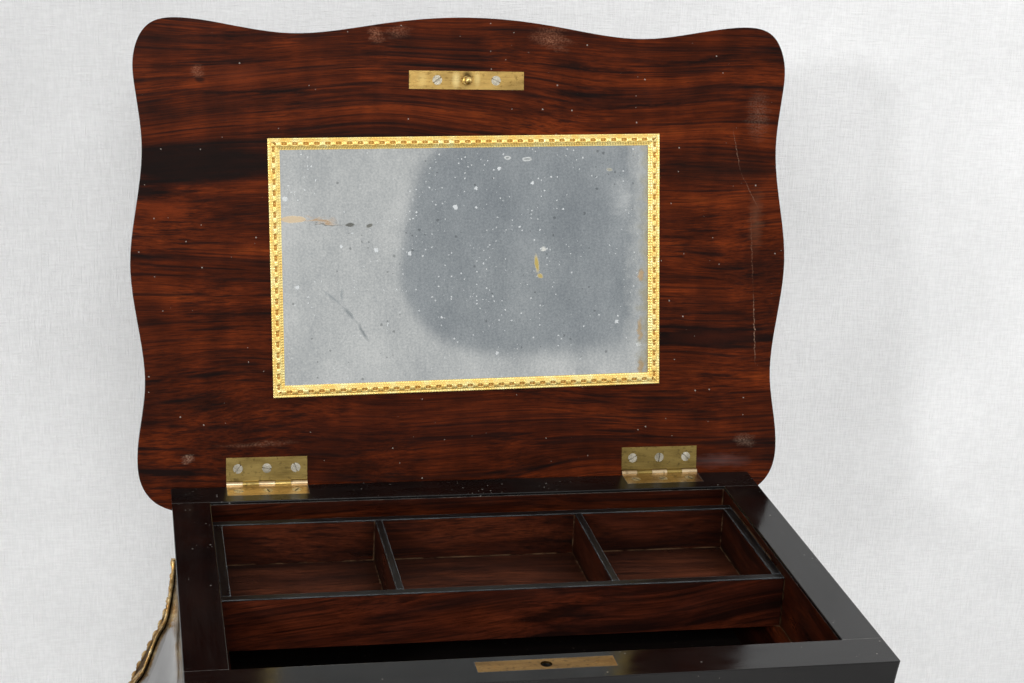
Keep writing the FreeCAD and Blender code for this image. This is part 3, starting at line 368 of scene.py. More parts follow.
def figure(tree, place, tones, boldness=1.0):
    """Rosewood's figure: its colour, and where its pores lie. Bands of colour run with the grain, long
    near-black streaks and needles follow them, and fine fibres lie over all. The sizes above are the length
    and width of each, in millimetres, and the detail of its noise."""
    drift = node(tree, "VectorMath", {0: stretched(tree, place, 260, 130, 1.0).outputs["Color"],
                                      1: (0.5, 0.5, 0.5)}, operation="SUBTRACT")
    drift = node(tree, "VectorMath", {0: drift, 1: (0, 50, 50)}, operation="MULTIPLY")
    wavy = node(tree, "VectorMath", {0: place, 1: drift}, operation="ADD")
    tone = node(tree, "Mix", {"Factor": 0.3, "A": stretched(tree, wavy, *BANDS),
                              "B": stretched(tree, place, *MOTTLE)})
    wood = node(tree, "ValToRGB", {0: tone}, stops=tones)
    fibres = node(tree, "Mix", {"Factor": 0.45, "A": stretched(tree, wavy, *FIBRES),
                                "B": stretched(tree, wavy, *HAIRS)})
    fine = node(tree, "MapRange", {"Value": fibres, "From Min": 0.36, "From Max": 0.64,
                                   "To Min": 1 - 0.56 * boldness, "To Max": 1 + 0.44 * boldness})
    wood = node(tree, "VectorMath", {0: wood, 1: fine}, operation="MULTIPLY")
    aside = node(tree, "VectorMath", {0: wavy, 1: (170, 310, 90)}, operation="ADD")
    needles = node(tree, "MapRange", {"Value": stretched(tree, aside, *NEEDLES), "From Min": 0.53,
                                      "From Max": 0.66, "To Max": 0.75 * boldness})
    streaks = node(tree, "MapRange", {"Value": stretched(tree, aside, *STREAKS), "From Min": 0.56,
                                      "From Max": 0.66, "To Max": 0.95 * boldness})
    dark = node(tree, "Math", {0: needles, 1: streaks}, operation="MAXIMUM")
    wood = node(tree, "Mix", {"Factor": dark, "A": wood, "B": "#130907"}, data_type="RGBA")
    pores = stretched(tree, wavy, *PORES)
    dashes = node(tree, "MapRange", {"Value": pores, "From Min": 0.6, "From Max": 0.7, "To Max": 0.45})
    wood = node(tree, "Mix", {"Factor": dashes, "A": wood, "B": "#120806"}, data_type="RGBA")
    return wood, dashes


def rosewood(name, grain, at=(0, 0, 0), tones=ROSEWOOD, black_above=None):
    """Rosewood boards, planed and polished: red-brown with near-black veins and a soft gloss, darkened as
    painted shade where other boards close round them. Pale glue and dust lie in the corners, and edges above
    a height are ebonised, streaked with blue-grey painted reflection and with a pale arris line that is
    painted highlight as well as wear."""
    finish, tree, shader = new_finish(name, {"IOR": 1.5, "Specular IOR Level": 0.2})
    place = in_mm(tree, grain, at)
    wood, dashes = figure(tree, place, tones, 0.9)
    # Painted shade: the wood darkens where other boards and the well close round it.
    enclosed_shade = node(tree, "AmbientOcclusion", {"Distance": 48 * MM}, samples=6)
    painted_shade = node(tree, "MapRange", {"Value": enclosed_shade.outputs["AO"], "From Min": 0.35, "From Max": 0.85,
                                      "To Min": 0.35, "To Max": 1.0})
    wood = node(tree, "VectorMath", {0: wood, 1: painted_shade}, operation="MULTIPLY")
    corner = node(tree, "AmbientOcclusion", {"Distance": 1.6 * MM}, samples=6)
    crevice = node(tree, "MapRange", {"Value": corner.outputs["AO"], "From Min": 0.78, "From Max": 0.55})
    broken = node(tree, "MapRange", {"Value": stretched(tree, place, 12, 5), "From Min": 0.42,
                                     "From Max": 0.6, "To Max": 0.55})
    glue = node(tree, "Math", {0: crevice, 1: broken}, operation="MULTIPLY")
    colour = node(tree, "Mix", {"Factor": glue, "A": wood, "B": "#8a6f52"}, data_type="RGBA")
    matt = node(tree, "MapRange", {"Value": stretched(tree, place, 50, 14), "From Min": 0.3, "From Max": 0.7,
                                   "To Min": 0.26, "To Max": 0.42})
    if black_above:
        height = node(tree, "SeparateXYZ", {0: in_mm(tree)}).outputs["Z"]
        top = node(tree, "MapRange", {"Value": height, "From Min": black_above - 0.2,
                                      "From Max": black_above})
        # On the ebonised top, the blue-grey streaks are painted reflection, and the pale blue-grey arris line
        # below is painted highlight as well as wear.
        stain = node(tree, "ValToRGB", {0: stretched(tree, place, 20, 2)},
                     stops=[(0.35, "#090808"), (0.6, "#121010"), (0.75, "#23282b")])
        wear_and_shine = node(tree, "Math", {0: rubbed(tree, 0.9 * MM), 1: stretched(tree, place, 22, 9)},
                    operation="MULTIPLY")
        edge = node(tree, "MapRange", {"Value": wear_and_shine, "From Min": 0.12, "From Max": 0.32, "To Max": 0.85})
        stain = node(tree, "Mix", {"Factor": edge, "A": stain, "B": "#aab4ba"}, data_type="RGBA")
        colour = node(tree, "Mix", {"Factor": top, "A": colour, "B": stain}, data_type="RGBA")
    join(shader, {"Base Color": colour, "Roughness": matt,
                  "Normal": node(tree, "Bump", {"Height": dashes, "Distance": -0.04 * MM})})
    return finish


dress(rosewood("rosewood_lining_across", ACROSS, (40, 300, 9)), "lining_front", "lining_back")
# The side linings take darker tones than the other linings: painted shade.
PAINTED_SHADE_LINING_TONES = ((0.3, "#1a0905"), (0.42, "#2c1107"), (0.53, "#3e180a"), (0.64, "#50220f"), (0.8, "#663015"))
dress(rosewood("rosewood_lining_deep", ALONG_DEPTH, (700, 90, 31), PAINTED_SHADE_LINING_TONES), "lining_left", "lining_right")
dress(rosewood("rosewood_runner", ALONG_DEPTH, (20, 55, 3)), "runner_left", "runner_right")


def stained_floor():
    """Well floor, a stained softwood board: dark and dull, with a faint grain and dust."""
    finish, tree, shader = new_finish("stained_floor_board", {"IOR": 1.45})
    place = in_mm(tree)
    colour = node(tree, "ValToRGB", {0: stretched(tree, place, 120, 5, 4.0)},
                  stops=[(0.35, "#0f0b0a"), (0.55, "#1a1311"), (0.75, "#2a1d17")])
    fallen = specks(tree, place, 4, 0.8, stretched(tree, place, 40, 40), 0.5, 0.5)
    colour = node(tree, "Mix", {"Factor": fallen, "A": colour, "B": "#8c8377"}, data_type="RGBA")
    join(shader, {"Base Color": colour, "Roughness": node(tree, "MapRange", {
        "Value": stretched(tree, place, 30, 9), "To Min": 0.4, "To Max": 0.75}),
        "Normal": node(tree, "Bump", {"Height": stretched(tree, place, 60, 1.4), "Distance": 0.06 * MM})})
    return finish


dress(stained_floor(), "well_floor")

# Tray. A sliding tray with two dividers, nailed and glued up of thin rosewood boards. The top 0.9 mm of its
# edges is ebonised and streaked with blue-grey painted reflection, and their arrises carry a pale line that
# is painted highlight as well as worn polish.
TRAY_EDGE = 706.8 - 0.9
TRAY_TONES = ((0.3, "#1f0c07"), (0.42, "#31140b"), (0.53, "#441d0f"), (0.66, "#5a2915"), (0.8, "#70371b"))
FRONT_TONES = ((0.3, "#240e08"), (0.42, "#39170d"), (0.53, "#4f2111"), (0.66, "#682f18"), (0.8, "#813f1f"))
dress(rosewood("rosewood_tray_front", (0, 0.1, 0), (90, -40, 12), FRONT_TONES, TRAY_EDGE), "tray_front")
dress(rosewood("rosewood_tray_back", ACROSS, (-130, 210, 60), TRAY_TONES, TRAY_EDGE), "tray_back")
dress(rosewood("rosewood_tray_ends", ALONG_DEPTH, (15, 33, 130), TRAY_TONES, TRAY_EDGE),
      "tray_end_left", "tray_end_right")
dress(rosewood("rosewood_tray_dividers", ALONG_DEPTH, (-75, 12, 44), TRAY_TONES, TRAY_EDGE),
      "tray_divider_left", "tray_divider_right")
FLOOR_TONES = ((0.3, "#2b1710"), (0.42, "#3f2015"), (0.53, "#532b1b"), (0.66, "#6a3925"), (0.8, "#7f492e"))
dress(rosewood("rosewood_tray_floor", ACROSS, (310, 77, 5), FLOOR_TONES), "tray_floor")


# Lock. An iron case let into the front rail under a brass plate that two small pins hold; a steel bolt
# slides in it and catches the neck of the stud.
def rolled(name, dull, bright, grain, tarnish):
    """Rolled sheet metal with the lines of its finishing and a patchy tarnish; the edges are brighter."""
    finish, tree, shader = new_finish(name, {"Metallic": 1.0})
    place = in_mm(tree, grain)
    colour = node(tree, "ValToRGB", {0: stretched(tree, place, 26, 7, 3.0)},
                  stops=[(0.3, dull), (0.62, bright)])
    spots = node(tree, "MapRange", {"Value": stretched(tree, place, 3.5, 3), "From Min": 0.58,
                                    "From Max": 0.7, "To Max": 0.55})
    colour = node(tree, "Mix", {"Factor": spots, "A": colour, "B": tarnish}, data_type="RGBA")
    edge = node(tree, "Math", {0: rubbed(tree, 0.4 * MM), 1: 0.5}, operation="MULTIPLY")
    colour = node(tree, "Mix", {"Factor": edge, "A": colour, "B": bright}, data_type="RGBA")
    shine = node(tree, "MapRange", {"Value": stretched(tree, place, 18, 0.5), "From Min": 0.3,
                                    "From Max": 0.7, "To Min": 0.24, "To Max": 0.4})
    join(shader, {"Base Color": colour, "Roughness": shine,
                  "Normal": node(tree, "Bump", {"Height": stretched(tree, place, 30, 0.45),
                                                "Distance": 0.015 * MM})})
    return finish


# Lock metals: brass gone brown, iron with a bloom of rust, and worn grey steel
dress(rolled("lock_plate_brass", "#8a6a3c", "#b08a52", ACROSS, "#4d3a22"), "lock_plate", "lock_plate_pins")
dress(rolled("lock_iron", "#2a2624", "#4a4441", ACROSS, "#4a2c1c"), "lock_case")
dress(rolled("bolt_steel", "#6f6c68", "#a5a29c", ACROSS, "#54402f"), "lock_bolt")

# Lid. A pearwood board with a serpentine outline and a rounded edge, ebonised outside and on its edge. It
# turns on an axis that is given here in millimetres, and leans back on the case when it is open.
LID_OPEN = math.radians(101.2)
HINGE_Y, HINGE_Z = 171.85, 715.2
dress(ebonised("ebonised_lid", ACROSS, 0.6), "lid_board")


# Veneer. Two sheets of sawn rosewood cover the lid's inner face, with a seam level with the top of the
# mirror. Places on it are given across from the middle and up from the hinge axis, in millimetres.
def on_lid(tree):
    """Places on the open lid: across, up from the hinge axis, and through."""
    turn = Matrix.Rotation(LID_OPEN, 3, "X")
    at = -(turn @ Vector((0, HINGE_Y, HINGE_Z)))
    flat = in_mm(tree, (LID_OPEN, 0, 0), tuple(at))
    return node(tree, "VectorMath", {0: flat, 1: (1, -1, 1)}, operation="MULTIPLY")


def mark(tree, place, at, reach, tilt, soft, ragged, strength=1.0):
    """An oval mark of this strength, fading over its soft share, with ragged edges in millimetres."""
    frayed = node(tree, "VectorMath", {0: stretched(tree, place, 14, 4, 3.0).outputs["Color"],
                                       1: (0.5, 0.5, 0.5)}, operation="SUBTRACT")
    frayed = node(tree, "VectorMath", {0: frayed, 1: (2 * ragged, 2 * ragged, 0)}, operation="MULTIPLY")
    moved = node(tree, "VectorMath", {0: place, 1: frayed}, operation="ADD")
    moved = node(tree, "VectorMath", {0: moved, 1: (at[0], at[1], 0)}, operation="SUBTRACT")
    turned = node(tree, "Mapping", {"Vector": moved, "Rotation": (0, 0, -math.radians(tilt))})
    unit = node(tree, "VectorMath", {0: turned, 1: (1 / reach[0], 1 / reach[1], 0)}, operation="MULTIPLY")
    far = node(tree, "VectorMath", {0: unit}, operation="LENGTH").outputs["Value"]
    return node(tree, "MapRange", {"Value": far, "From Min": 1.0, "From Max": 1.0 - soft,
                                   "To Max": strength})


VENEER = ((0.3, "#1f0a03"), (0.4, "#341205"), (0.5, "#491a06"), (0.6, "#5e2409"), (0.75, "#7b3610"))
# Colours of the marks that are broken up into grains: bloom, dust and scratched polish
POWDER = ("#8f5f48", "#a98b76", "#8a6550", "#9a7a66")
# Marks: place, half length and half width, tilt in degrees, softness, colour, strength, raggedness
VENEER_MARKS = (
    ((-211, 318), (5, 2.5), 0, 0.5, "#1a0c08", 0.8, 2),
    ((-213, 325), (6, 7), 0, 1.0, "#8f5f48", 0.8, 4),
    ((-180, 322), (34, 9), 0, 1.0, "#6a2c12", 0.45, 8),
    ((-75, 354), (7, 9), 10, 1.0, "#8f5f48", 0.95, 8),
    ((-58, 357), (12, 6), 0, 1.0, "#8f5f48", 0.6, 8),
    ((66, 353), (20, 9), -8, 1.0, "#8f5f48", 0.9, 9),
    ((-30, 44), (230, 34), 0, 1.0, "#2a110d", 0.35, 8),
    ((-169, 32), (36, 2.5), 1.8, 0.9, "#8a6550", 0.5, 3),
    ((207, 112), (50, 8), 0, 0.9, "#43190a", 0.5, 5),
    ((238, 172), (34, 5), 0, 0.9, "#0c0605", 0.6, 4),
    ((189, 143), (26, 8), 0, 1.0, "#160906", 0.5, 6),
    ((-213, 253), (84, 18), 0, 0.4, "#120b09", 0.85, 5),
    ((212, 250), (84, 17), 0, 0.8, "#1a0d08", 0.6, 5),
    ((-239, 218), (22, 11), 0, 0.9, "#7a3010", 0.55, 8),
    ((-165, 309), (100, 2), 1, 0.9, "#0c0605", 0.85, 3),
    ((-190, 352), (70, 2), 2, 0.9, "#0c0605", 0.8, 3),
    ((95, 330), (48, 4), -3, 0.9, "#0c0605", 0.9, 5),
    ((190, 338), (66, 2.4), 6, 0.9, "#0c0605", 0.85, 4),
    ((150, 302), (110, 1.6), 4, 0.9, "#0c0605", 0.7, 4),
    ((235, 25), (11, 7), 0, 0.9, "#a98b76", 0.32, 7),
    ((214, 8), (30, 7), 0, 0.9, "#6d5a58", 0.3, 5),
    ((240, 294), (11, 26), 0, 1.0, "#a98b76", 0.22, 8),
    ((-223, 22), (5.5, 3.5), 0, 0.9, "#a98b76", 0.65, 6),
    ((241, 120), (0.7, 34), 2.9, 0.5, "#9a7a66", 0.85, 1.6),
    ((237, 187), (0.7, 36), 3.4, 0.5, "#8a6550", 0.45, 1.6),
    ((240, 208), (8, 30), 0, 1.0, "#7a5540", 0.3, 6),
    ((222, 266), (0.5, 19), 12, 0.5, "#9a7a66", 0.55, 1.2),
    ((235, 231), (0.5, 21), 28, 0.5, "#9a7a66", 0.35, 1.2),
)


def veneer():
    """Rosewood veneer, French polished long ago: deep red-brown, dark streaks across the lid, orange light
    in the curl, a softened gloss, with dust, rubbed places and scratches."""
    finish, tree, shader = new_finish("rosewood_veneer_old_polish", {"IOR": 1.5, "Specular IOR Level": 0.06})
    place = on_lid(tree)
    wood, dashes = figure(tree, place, VENEER)
    curl = node(tree, "MapRange", {"Value": stretched(tree, place, 26, 60, 2.0), "From Min": 0.4,
                                   "From Max": 0.72, "To Min": 0.82, "To Max": 1.3})
    wood = node(tree, "VectorMath", {0: wood, 1: curl}, operation="MULTIPLY")
    grains = node(tree, "MapRange", {"Value": stretched(tree, place, 1.5, 1.2, 3.0), "From Min": 0.42,
                                     "From Max": 0.66, "To Min": 0.15})
    for at, reach, tilt, soft, tint, strength, ragged in VENEER_MARKS:
        cover = mark(tree, place, at, reach, tilt, soft, ragged, strength)
        if tint in POWDER:
            cover = node(tree, "Math", {0: cover, 1: grains}, operation="MULTIPLY")
        wood = node(tree, "Mix", {"Factor": cover, "A": wood, "B": tint}, data_type="RGBA")
    dust = specks(tree, place, 6, 0.7, stretched(tree, place, 55, 55), 0.47, 0.4)
    wood = node(tree, "Mix", {"Factor": dust, "A": wood, "B": "#cfc4b8"}, data_type="RGBA")
    matt = node(tree, "MapRange", {"Value": stretched(tree, place, 60, 30, 4.0), "From Min": 0.3,
                                   "From Max": 0.7, "To Min": 0.3, "To Max": 0.5})
    join(shader, {"Base Color": wood, "Roughness": matt,
                  "Normal": node(tree, "Bump", {"Height": dashes, "Distance": -0.04 * MM})})
    return finish


dress(veneer(), "lid_veneer_lower", "lid_veneer_upper")

# Mirror. An old plate with a mercury and tin backing, let into the lid: grey, foxed with pale specks,
# flaked in places, and decayed along its right edge.
MIRROR_MARKS = (
    ((-140, 210), (11, 3.0), 0, 0.15, "#cbb798", 1.0, 1.5),
    ((-118, 208.5), (15, 2.6), -3, 0.6, "#a98b66", 0.9, 7),
    ((-108, 206), (22, 0.5), 0, 0.4, "#4f4a40", 0.8, 6),
    ((-95, 206), (4, 1.6), 0, 0.3, "#4a4a42", 0.9, 1.2),
    ((-80, 205), (3, 1.8), 20, 0.3, "#4c4b40", 0.85, 1.4),
    ((-109, 148), (11, 1.5), -39, 0.7, "#868c8e", 0.85, 1.2),
    ((-96, 135.5), (10, 2.0), -48, 0.7, "#7f8587", 0.9, 1.4),
    ((-85, 120.5), (11.5, 1.8), -59, 0.7, "#7b8183", 0.9, 1.4),
    ((-101.5, 150), (1.5, 6.5), 0, 0.7, "#868c8e", 0.85, 1.2),
    ((128, 226), (16, 22), 0, 1.0, "#b4b8b9", 0.35, 9),
    ((56, 174), (2.2, 9), 8, 0.5, "#b8a04a", 0.95, 1.2),
    ((59, 164), (3, 2.2), 0, 0.5, "#b8a04a", 0.9, 2),
    ((61, 186), (3, 2.4), 0, 0.6, "#d2d2ca", 0.85, 4),
    ((143, 164), (3, 6), 0, 0.5, "#b08e5e", 0.8, 3),
    ((143, 119), (2.6, 12), 0, 0.5, "#a98b5c", 0.75, 3),
    ((144, 88), (3, 9), 0, 0.5, "#a98b5c", 0.75, 3),
    ((31, 259), (3, 1.6), 0, 0.3, "#c9ccca", 0.7, 1),
    ((31, 259), (1.8, 0.8), 20, 0.3, "#7e8485", 0.8, 1),
    ((47, 258), (4.5, 1.8), 0, 0.3, "#c9ccca", 0.7, 1.4),
    ((47, 258), (3.4, 0.9), 0, 0.3, "#868b8a", 0.8, 1.4),
    ((115, 250), (3, 1.2), 0, 0.5, "#8d8768", 0.7, 2),
)
SMOKY, DECAYED = (138, 160), (151, 158)


def old_mirror():
    """Old silvered glass: it reflects softly, greyed by a fine weave of tarnish, and where the backing has
    gone it is pale and dull. Towards its right edge it turns smoky and then decayed."""
    finish, tree, shader = new_finish("old_tin_and_mercury_mirror", {})
    place = on_lid(tree)
    grain = stretched(tree, place, 1.6, 1.6, 5.0)
    clouds = stretched(tree, place, 34, 60, 4.0)
    narrow = node(tree, "VectorMath", {0: place, 1: (4, 1, 1)}, operation="MULTIPLY")
    woven = node(tree, "Mix", {"Factor": 0.3, "A": grain, "B": stretched(tree, narrow, 9, 9, 3.0)})
    tarnish = node(tree, "Mix", {"Factor": 0.4, "A": woven, "B": clouds})
    silver = node(tree, "ValToRGB", {0: tarnish},
                  stops=[(0.38, "#b7bbbc"), (0.5, "#cccfce"), (0.6, "#dddfdd")])
    crowd = node(tree, "Math", {0: mark(tree, place, (10, 195), (95, 95), 0, 1.0, 14, 0.16),
                                1: mark(tree, place, (142, 196), (20, 96), 0, 1.0, 14, 0.16)},
                 operation="MAXIMUM")
    crowd = node(tree, "Math", {0: crowd, 1: stretched(tree, place, 24, 24)}, operation="ADD")
    gone = node(tree, "Math", {0: specks(tree, place, 9, 2.3, crowd, 0.56),
                               1: specks(tree, place, 2.6, 0.75, crowd, 0.53, 0.7)}, operation="MAXIMUM")
    colour = node(tree, "Mix", {"Factor": gone, "A": silver, "B": "#cfd3d4"}, data_type="RGBA")
    aside = node(tree, "VectorMath", {0: place, 1: (9, 5, 0)}, operation="ADD")
    dark = specks(tree, aside, 5, 1.2, stretched(tree, place, 50, 50), 0.5, 0.5)
    colour = node(tree, "Mix", {"Factor": dark, "A": colour, "B": "#6b6f70"}, data_type="RGBA")
    fray = node(tree, "Math", {0: stretched(tree, place, 9, 9, 5.0), 1: 20}, operation="MULTIPLY")
    side = node(tree, "Math", {0: node(tree, "SeparateXYZ", {0: place}).outputs["X"], 1: fray},
                operation="ADD")
    smoky = node(tree, "MapRange", {"Value": side, "From Min": SMOKY[0], "From Max": SMOKY[1],
                                    "To Max": 0.45})
    colour = node(tree, "Mix", {"Factor": smoky, "A": colour, "B": "#c4c5bf"}, data_type="RGBA")
    decay = node(tree, "MapRange", {"Value": side, "From Min": DECAYED[0], "From Max": DECAYED[1],
                                    "To Max": 0.8})
    colour = node(tree, "Mix", {"Factor": decay, "A": colour, "B": "#8d8870"}, data_type="RGBA")
    lost = node(tree, "Math", {0: gone, 1: decay}, operation="MAXIMUM")
    lost = node(tree, "Math", {0: lost, 1: smoky}, operation="MAXIMUM")
    for at, reach, tilt, soft, tint, strength, ragged in MIRROR_MARKS:
        cover = mark(tree, place, at, reach, tilt, soft, ragged, strength)
        colour = node(tree, "Mix", {"Factor": cover, "A": colour, "B": tint}, data_type="RGBA")
        lost = node(tree, "Math", {0: lost, 1: cover}, operation="MAXIMUM")
    join(shader, {
        "Base Color": colour,
        "Metallic": node(tree, "MapRange", {"Value": lost, "To Min": 0.95, "To Max": 0.05}),
        "Roughness": node(tree, "MapRange", {"Value": lost, "To Min": 0.045, "To Max": 0.5})})
    return finish


dress(old_mirror(), "mirror_glass")

# Mouldings. Four lengths of stamped gilt brass, mitred and pinned round the glass: a notched outer bead, a
# groove, a row of square hollows between small tulips, and a beaded sight edge. Sizes are in millimetres.
MIRROR_SIZE, MIRROR_MIDDLE, MIRROR_SKEW = (315.8, 204.3), 174.0, math.radians(-1.03)
LID_FACE, MOULDING_WIDTH, MOULDING_CROWN, STAMP = 0.2, 9.3, 3.8, 8.55
POINTS_A_STAMP, POINTS_ACROSS = 18, 25
lid_matrix = Matrix.Translation(Vector((0, HINGE_Y, HINGE_Z)) * MM) @ Matrix.Rotation(-LID_OPEN, 4, "X")
mirror_matrix = lid_matrix @ Matrix.Translation((0, -MIRROR_MIDDLE * MM, 0))
mirror_matrix = mirror_matrix @ Matrix.Rotation(MIRROR_SKEW, 4, "Z")
# Gilt brass: a pale, bright gold that turns orange in the hollows of the stamping
gilt_brass = worked_metal("stamped_gilt_brass", "#ffd474", "#ffe188", "#a8701f", "#fff0a8", 0.5)


def stamped(along, across):
    """Height of the stamped brass, in millimetres, along and across a moulding, and where it is hollow."""
    turn = along / STAMP * 2 * math.pi
    arch = 1.8 + 1.35 * np.sin(np.clip((across - 1.2) / 7.0, 0, 1) * math.pi) ** 0.8
    arch = np.where(across > 6.2, 1.0 + (arch - 1.0) * step(across, 9.3, 6.2), arch)
    bead = 0.5 * (0.35 + 0.65 * np.abs(np.cos(2 * turn))) * hump(across - 0.7, 0.5)
    notch = -0.5 * (0.5 - 0.5 * np.cos(4 * turn)) * hump(across - 2.7, 0.4)
    groove = -0.7 * hump(across - 1.8, 0.4)
    middle = np.abs((along / STAMP + 0.5) % 1 - 0.5) * STAMP
    inside = step(middle, 2.3, 1.7) * step(across, 3.0, 3.4) * step(across, 5.6, 5.2)
    boss = 0.7 * hump(middle, 0.9) * hump(across - 4.3, 0.5)
    border = 0.35 * hump(middle - 2.6, 0.35) * step(across, 2.5, 3.0) * step(across, 6.3, 5.8)
    petal = hump(STAMP / 2 - middle - 0.35 - 0.22 * (across - 3), 0.42) * step(across, 2.4, 3.0)
    petal = 0.6 * petal * step(across, 6.4, 5.6)
    stem = 0.45 * hump(STAMP / 2 - middle, 0.3) * step(across, 4.4, 5.2) * step(across, 6.6, 6.1)
    line = -0.45 * hump(across - 6.7, 0.28)
    pearl = (0.8 * (0.5 + 0.5 * np.cos(4 * turn)) ** 0.7 - 0.4) * hump(across - 7.9, 0.8)
    high = arch + bead + notch + groove - 1.5 * inside + boss * inside
    high = high + border + petal + stem + line + pearl
    return np.clip(high, 0.3, MOULDING_CROWN), np.clip((arch - high) / 1.6, 0, 1)


def moulding(length, away, degrees):
    """One mitred length, laid as a fine grid over its width and closed at its back."""
    stamps = round(length / STAMP)
    along = np.linspace(-length / 2, length / 2, stamps * POINTS_A_STAMP + 1)
    across = np.concatenate([[0], np.linspace(0, MOULDING_WIDTH, POINTS_ACROSS), [MOULDING_WIDTH]])
    x, y = np.meshgrid(along, across)
    limit = length / 2 - y
    x = np.clip(x, -limit, limit)
    z, hollow = stamped(x * stamps * STAMP / length, y)
    z[0] = z[-1] = 0
    grid = np.stack([x, y - away / 2, -z], -1).reshape(-1, 3)
    place = mirror_matrix @ Matrix.Rotation(math.radians(degrees), 4, "Z")
    place = place @ Matrix.Translation((0, 0, LID_FACE * MM))
    points = [place @ (Vector(p) * MM) for p in grid]
    wide = len(along)
    faces = [(i * wide + j, (i + 1) * wide + j, (i + 1) * wide + j + 1, i * wide + j + 1)
             for i in range(len(across) - 1) for j in range(wide - 1)]
    return points, faces, hollow.reshape(-1)


for name, length, away, degrees in (
        ("top", MIRROR_SIZE[0], MIRROR_SIZE[1], 0), ("right", MIRROR_SIZE[1], MIRROR_SIZE[0], 90),
        ("bottom", MIRROR_SIZE[0], MIRROR_SIZE[1], 180), ("left", MIRROR_SIZE[1], MIRROR_SIZE[0], 270)):
    points, faces, hollow = moulding(length, away, degrees)
    made_piece(f"mirror_moulding_{name}_stamped", points, faces, gilt_brass, "lid", "gilt_moulding",
               f"mirror_moulding_{name}", hollow=hollow)

# Strike. A brass plate let into the veneer, held by two slotted screws and two pins, with a ball stud
# riveted in a dark collar.
# Patches: place, half length and half width, colour, strength. The dark one by the stud is a painted
# reflection of the stud with some tarnish; the others are lighter patches.
STRIKE_PATCHES_AND_REFLECTION = (((-11, 320), (4, 8), "#f4dc98", 0.6), ((6, 321), (3, 8), "#ecd28c", 0.5),
                ((-2, 323), (5, 6), "#3d2f18", 0.9), ((-38, 320), (5, 8), "#e6cc86", 0.3))
STUD_AT, STUD_SIDES, STUD_COLLAR, STUD_DEPTH, STUD_END = Vector((-2.4, -319.8, 0)), 40, 3.6, 0.3, 10.5
# The stud's neck, as radius and height above the plate
STUD_NECK = ((3.6, 0), (3.6, 0.5), (3.3, 0.75), (2.3, 0.9), (1.7, 1.5), (1.6, 3.2), (1.8, 4.2), (2.2, 4.7))
BALL_MIDDLE, BALL_REACH, BALL_RISE = 7.4, 3.35, 3.1


def strike_plate_brass():
    """Rolled brass with lighter patches beside the stud and a dark patch by it, a painted reflection of the
    stud with some tarnish.
    """
    finish = rolled("strike_plate_brass", "#9a7d48", "#c29f5c", ACROSS, "#74592c")
    tree = finish.node_tree
    shader = next(n for n in tree.nodes if n.type == "BSDF_PRINCIPLED")
    colour, place = shader.inputs["Base Color"].links[0].from_socket, on_lid(tree)
    for at, reach, tint, strength in STRIKE_PATCHES_AND_REFLECTION:
        cover = mark(tree, place, at, reach, 0, 0.7, 0.6, strength)
        colour = node(tree, "Mix", {"Factor": cover, "A": colour, "B": tint}, data_type="RGBA")
    join(shader, {"Base Color": colour})
    return finish


dress(strike_plate_brass(), "strike_plate", "strike_pins")
# Stud brass: yellower than the plate, and kept bright by the lock
stud_brass = rolled("stud_brass", "#b8974e", "#f0cf86", ACROSS, "#6a5024")


def turned_stud():
    """The stud as it was turned: collar, hollow neck, and a ball a little flattened at its end."""
    ball = [(BALL_REACH * math.sin(math.radians(a)), BALL_MIDDLE - BALL_RISE * math.cos(math.radians(a)))
            for a in range(44, 181, 8)]
    profile = [(0, -STUD_DEPTH), (STUD_COLLAR, -STUD_DEPTH), *STUD_NECK, *ball, (0, STUD_END)]
    points = [lid_matrix @ ((STUD_AT + Vector((r * math.cos(t), r * math.sin(t), -z))) * MM)
              for r, z in profile for t in np.linspace(0, 2 * math.pi, STUD_SIDES, endpoint=False)]
    faces = [(i * STUD_SIDES + j, i * STUD_SIDES + (j + 1) % STUD_SIDES,
              (i + 1) * STUD_SIDES + (j + 1) % STUD_SIDES, (i + 1) * STUD_SIDES + j)
             for i in range(len(profile) - 1) for j in range(STUD_SIDES)]
    made_piece("strike_stud_turned", points, faces, stud_brass, "lid", "strike_brass", "strike_stud")


turned_stud()

# Hinges. Two brass butt hinges, each with five knuckles on a steel pin. Their leaves are let in flush, and
# slotted steel screws hold them. The brass is olive on the lid and paler on the rim, where it is rubbed.
dress(rolled("hinge_left_lid_leaf_brass", "#917a45", "#b49a5c", ACROSS, "#5c4c2a"), "hinge_left_lid_leaf")
dress(rolled("hinge_right_lid_leaf_brass", "#7f6a3a", "#a0884e", ACROSS, "#54452a"), "hinge_right_lid_leaf")
dress(rolled("hinge_rim_leaf_brass", "#a98f6a", "#d9c29c", ACROSS, "#665034"),
      "hinge_left_rim_leaf", "hinge_right_rim_leaf")
dress(rolled("hinge_pin_steel", "#77746e", "#a8a49c", ACROSS, "#4e3d2c"), "hinge_left_pin", "hinge_right_pin")
# Screw steel: silvery heads, mottled with age, with dark slots
screw_steel = worked_metal("screw_steel", "#a8a08c", "#c9c1ad", "#15100c", "#e6dfcd")
SCREW_GAP = 4 * MM


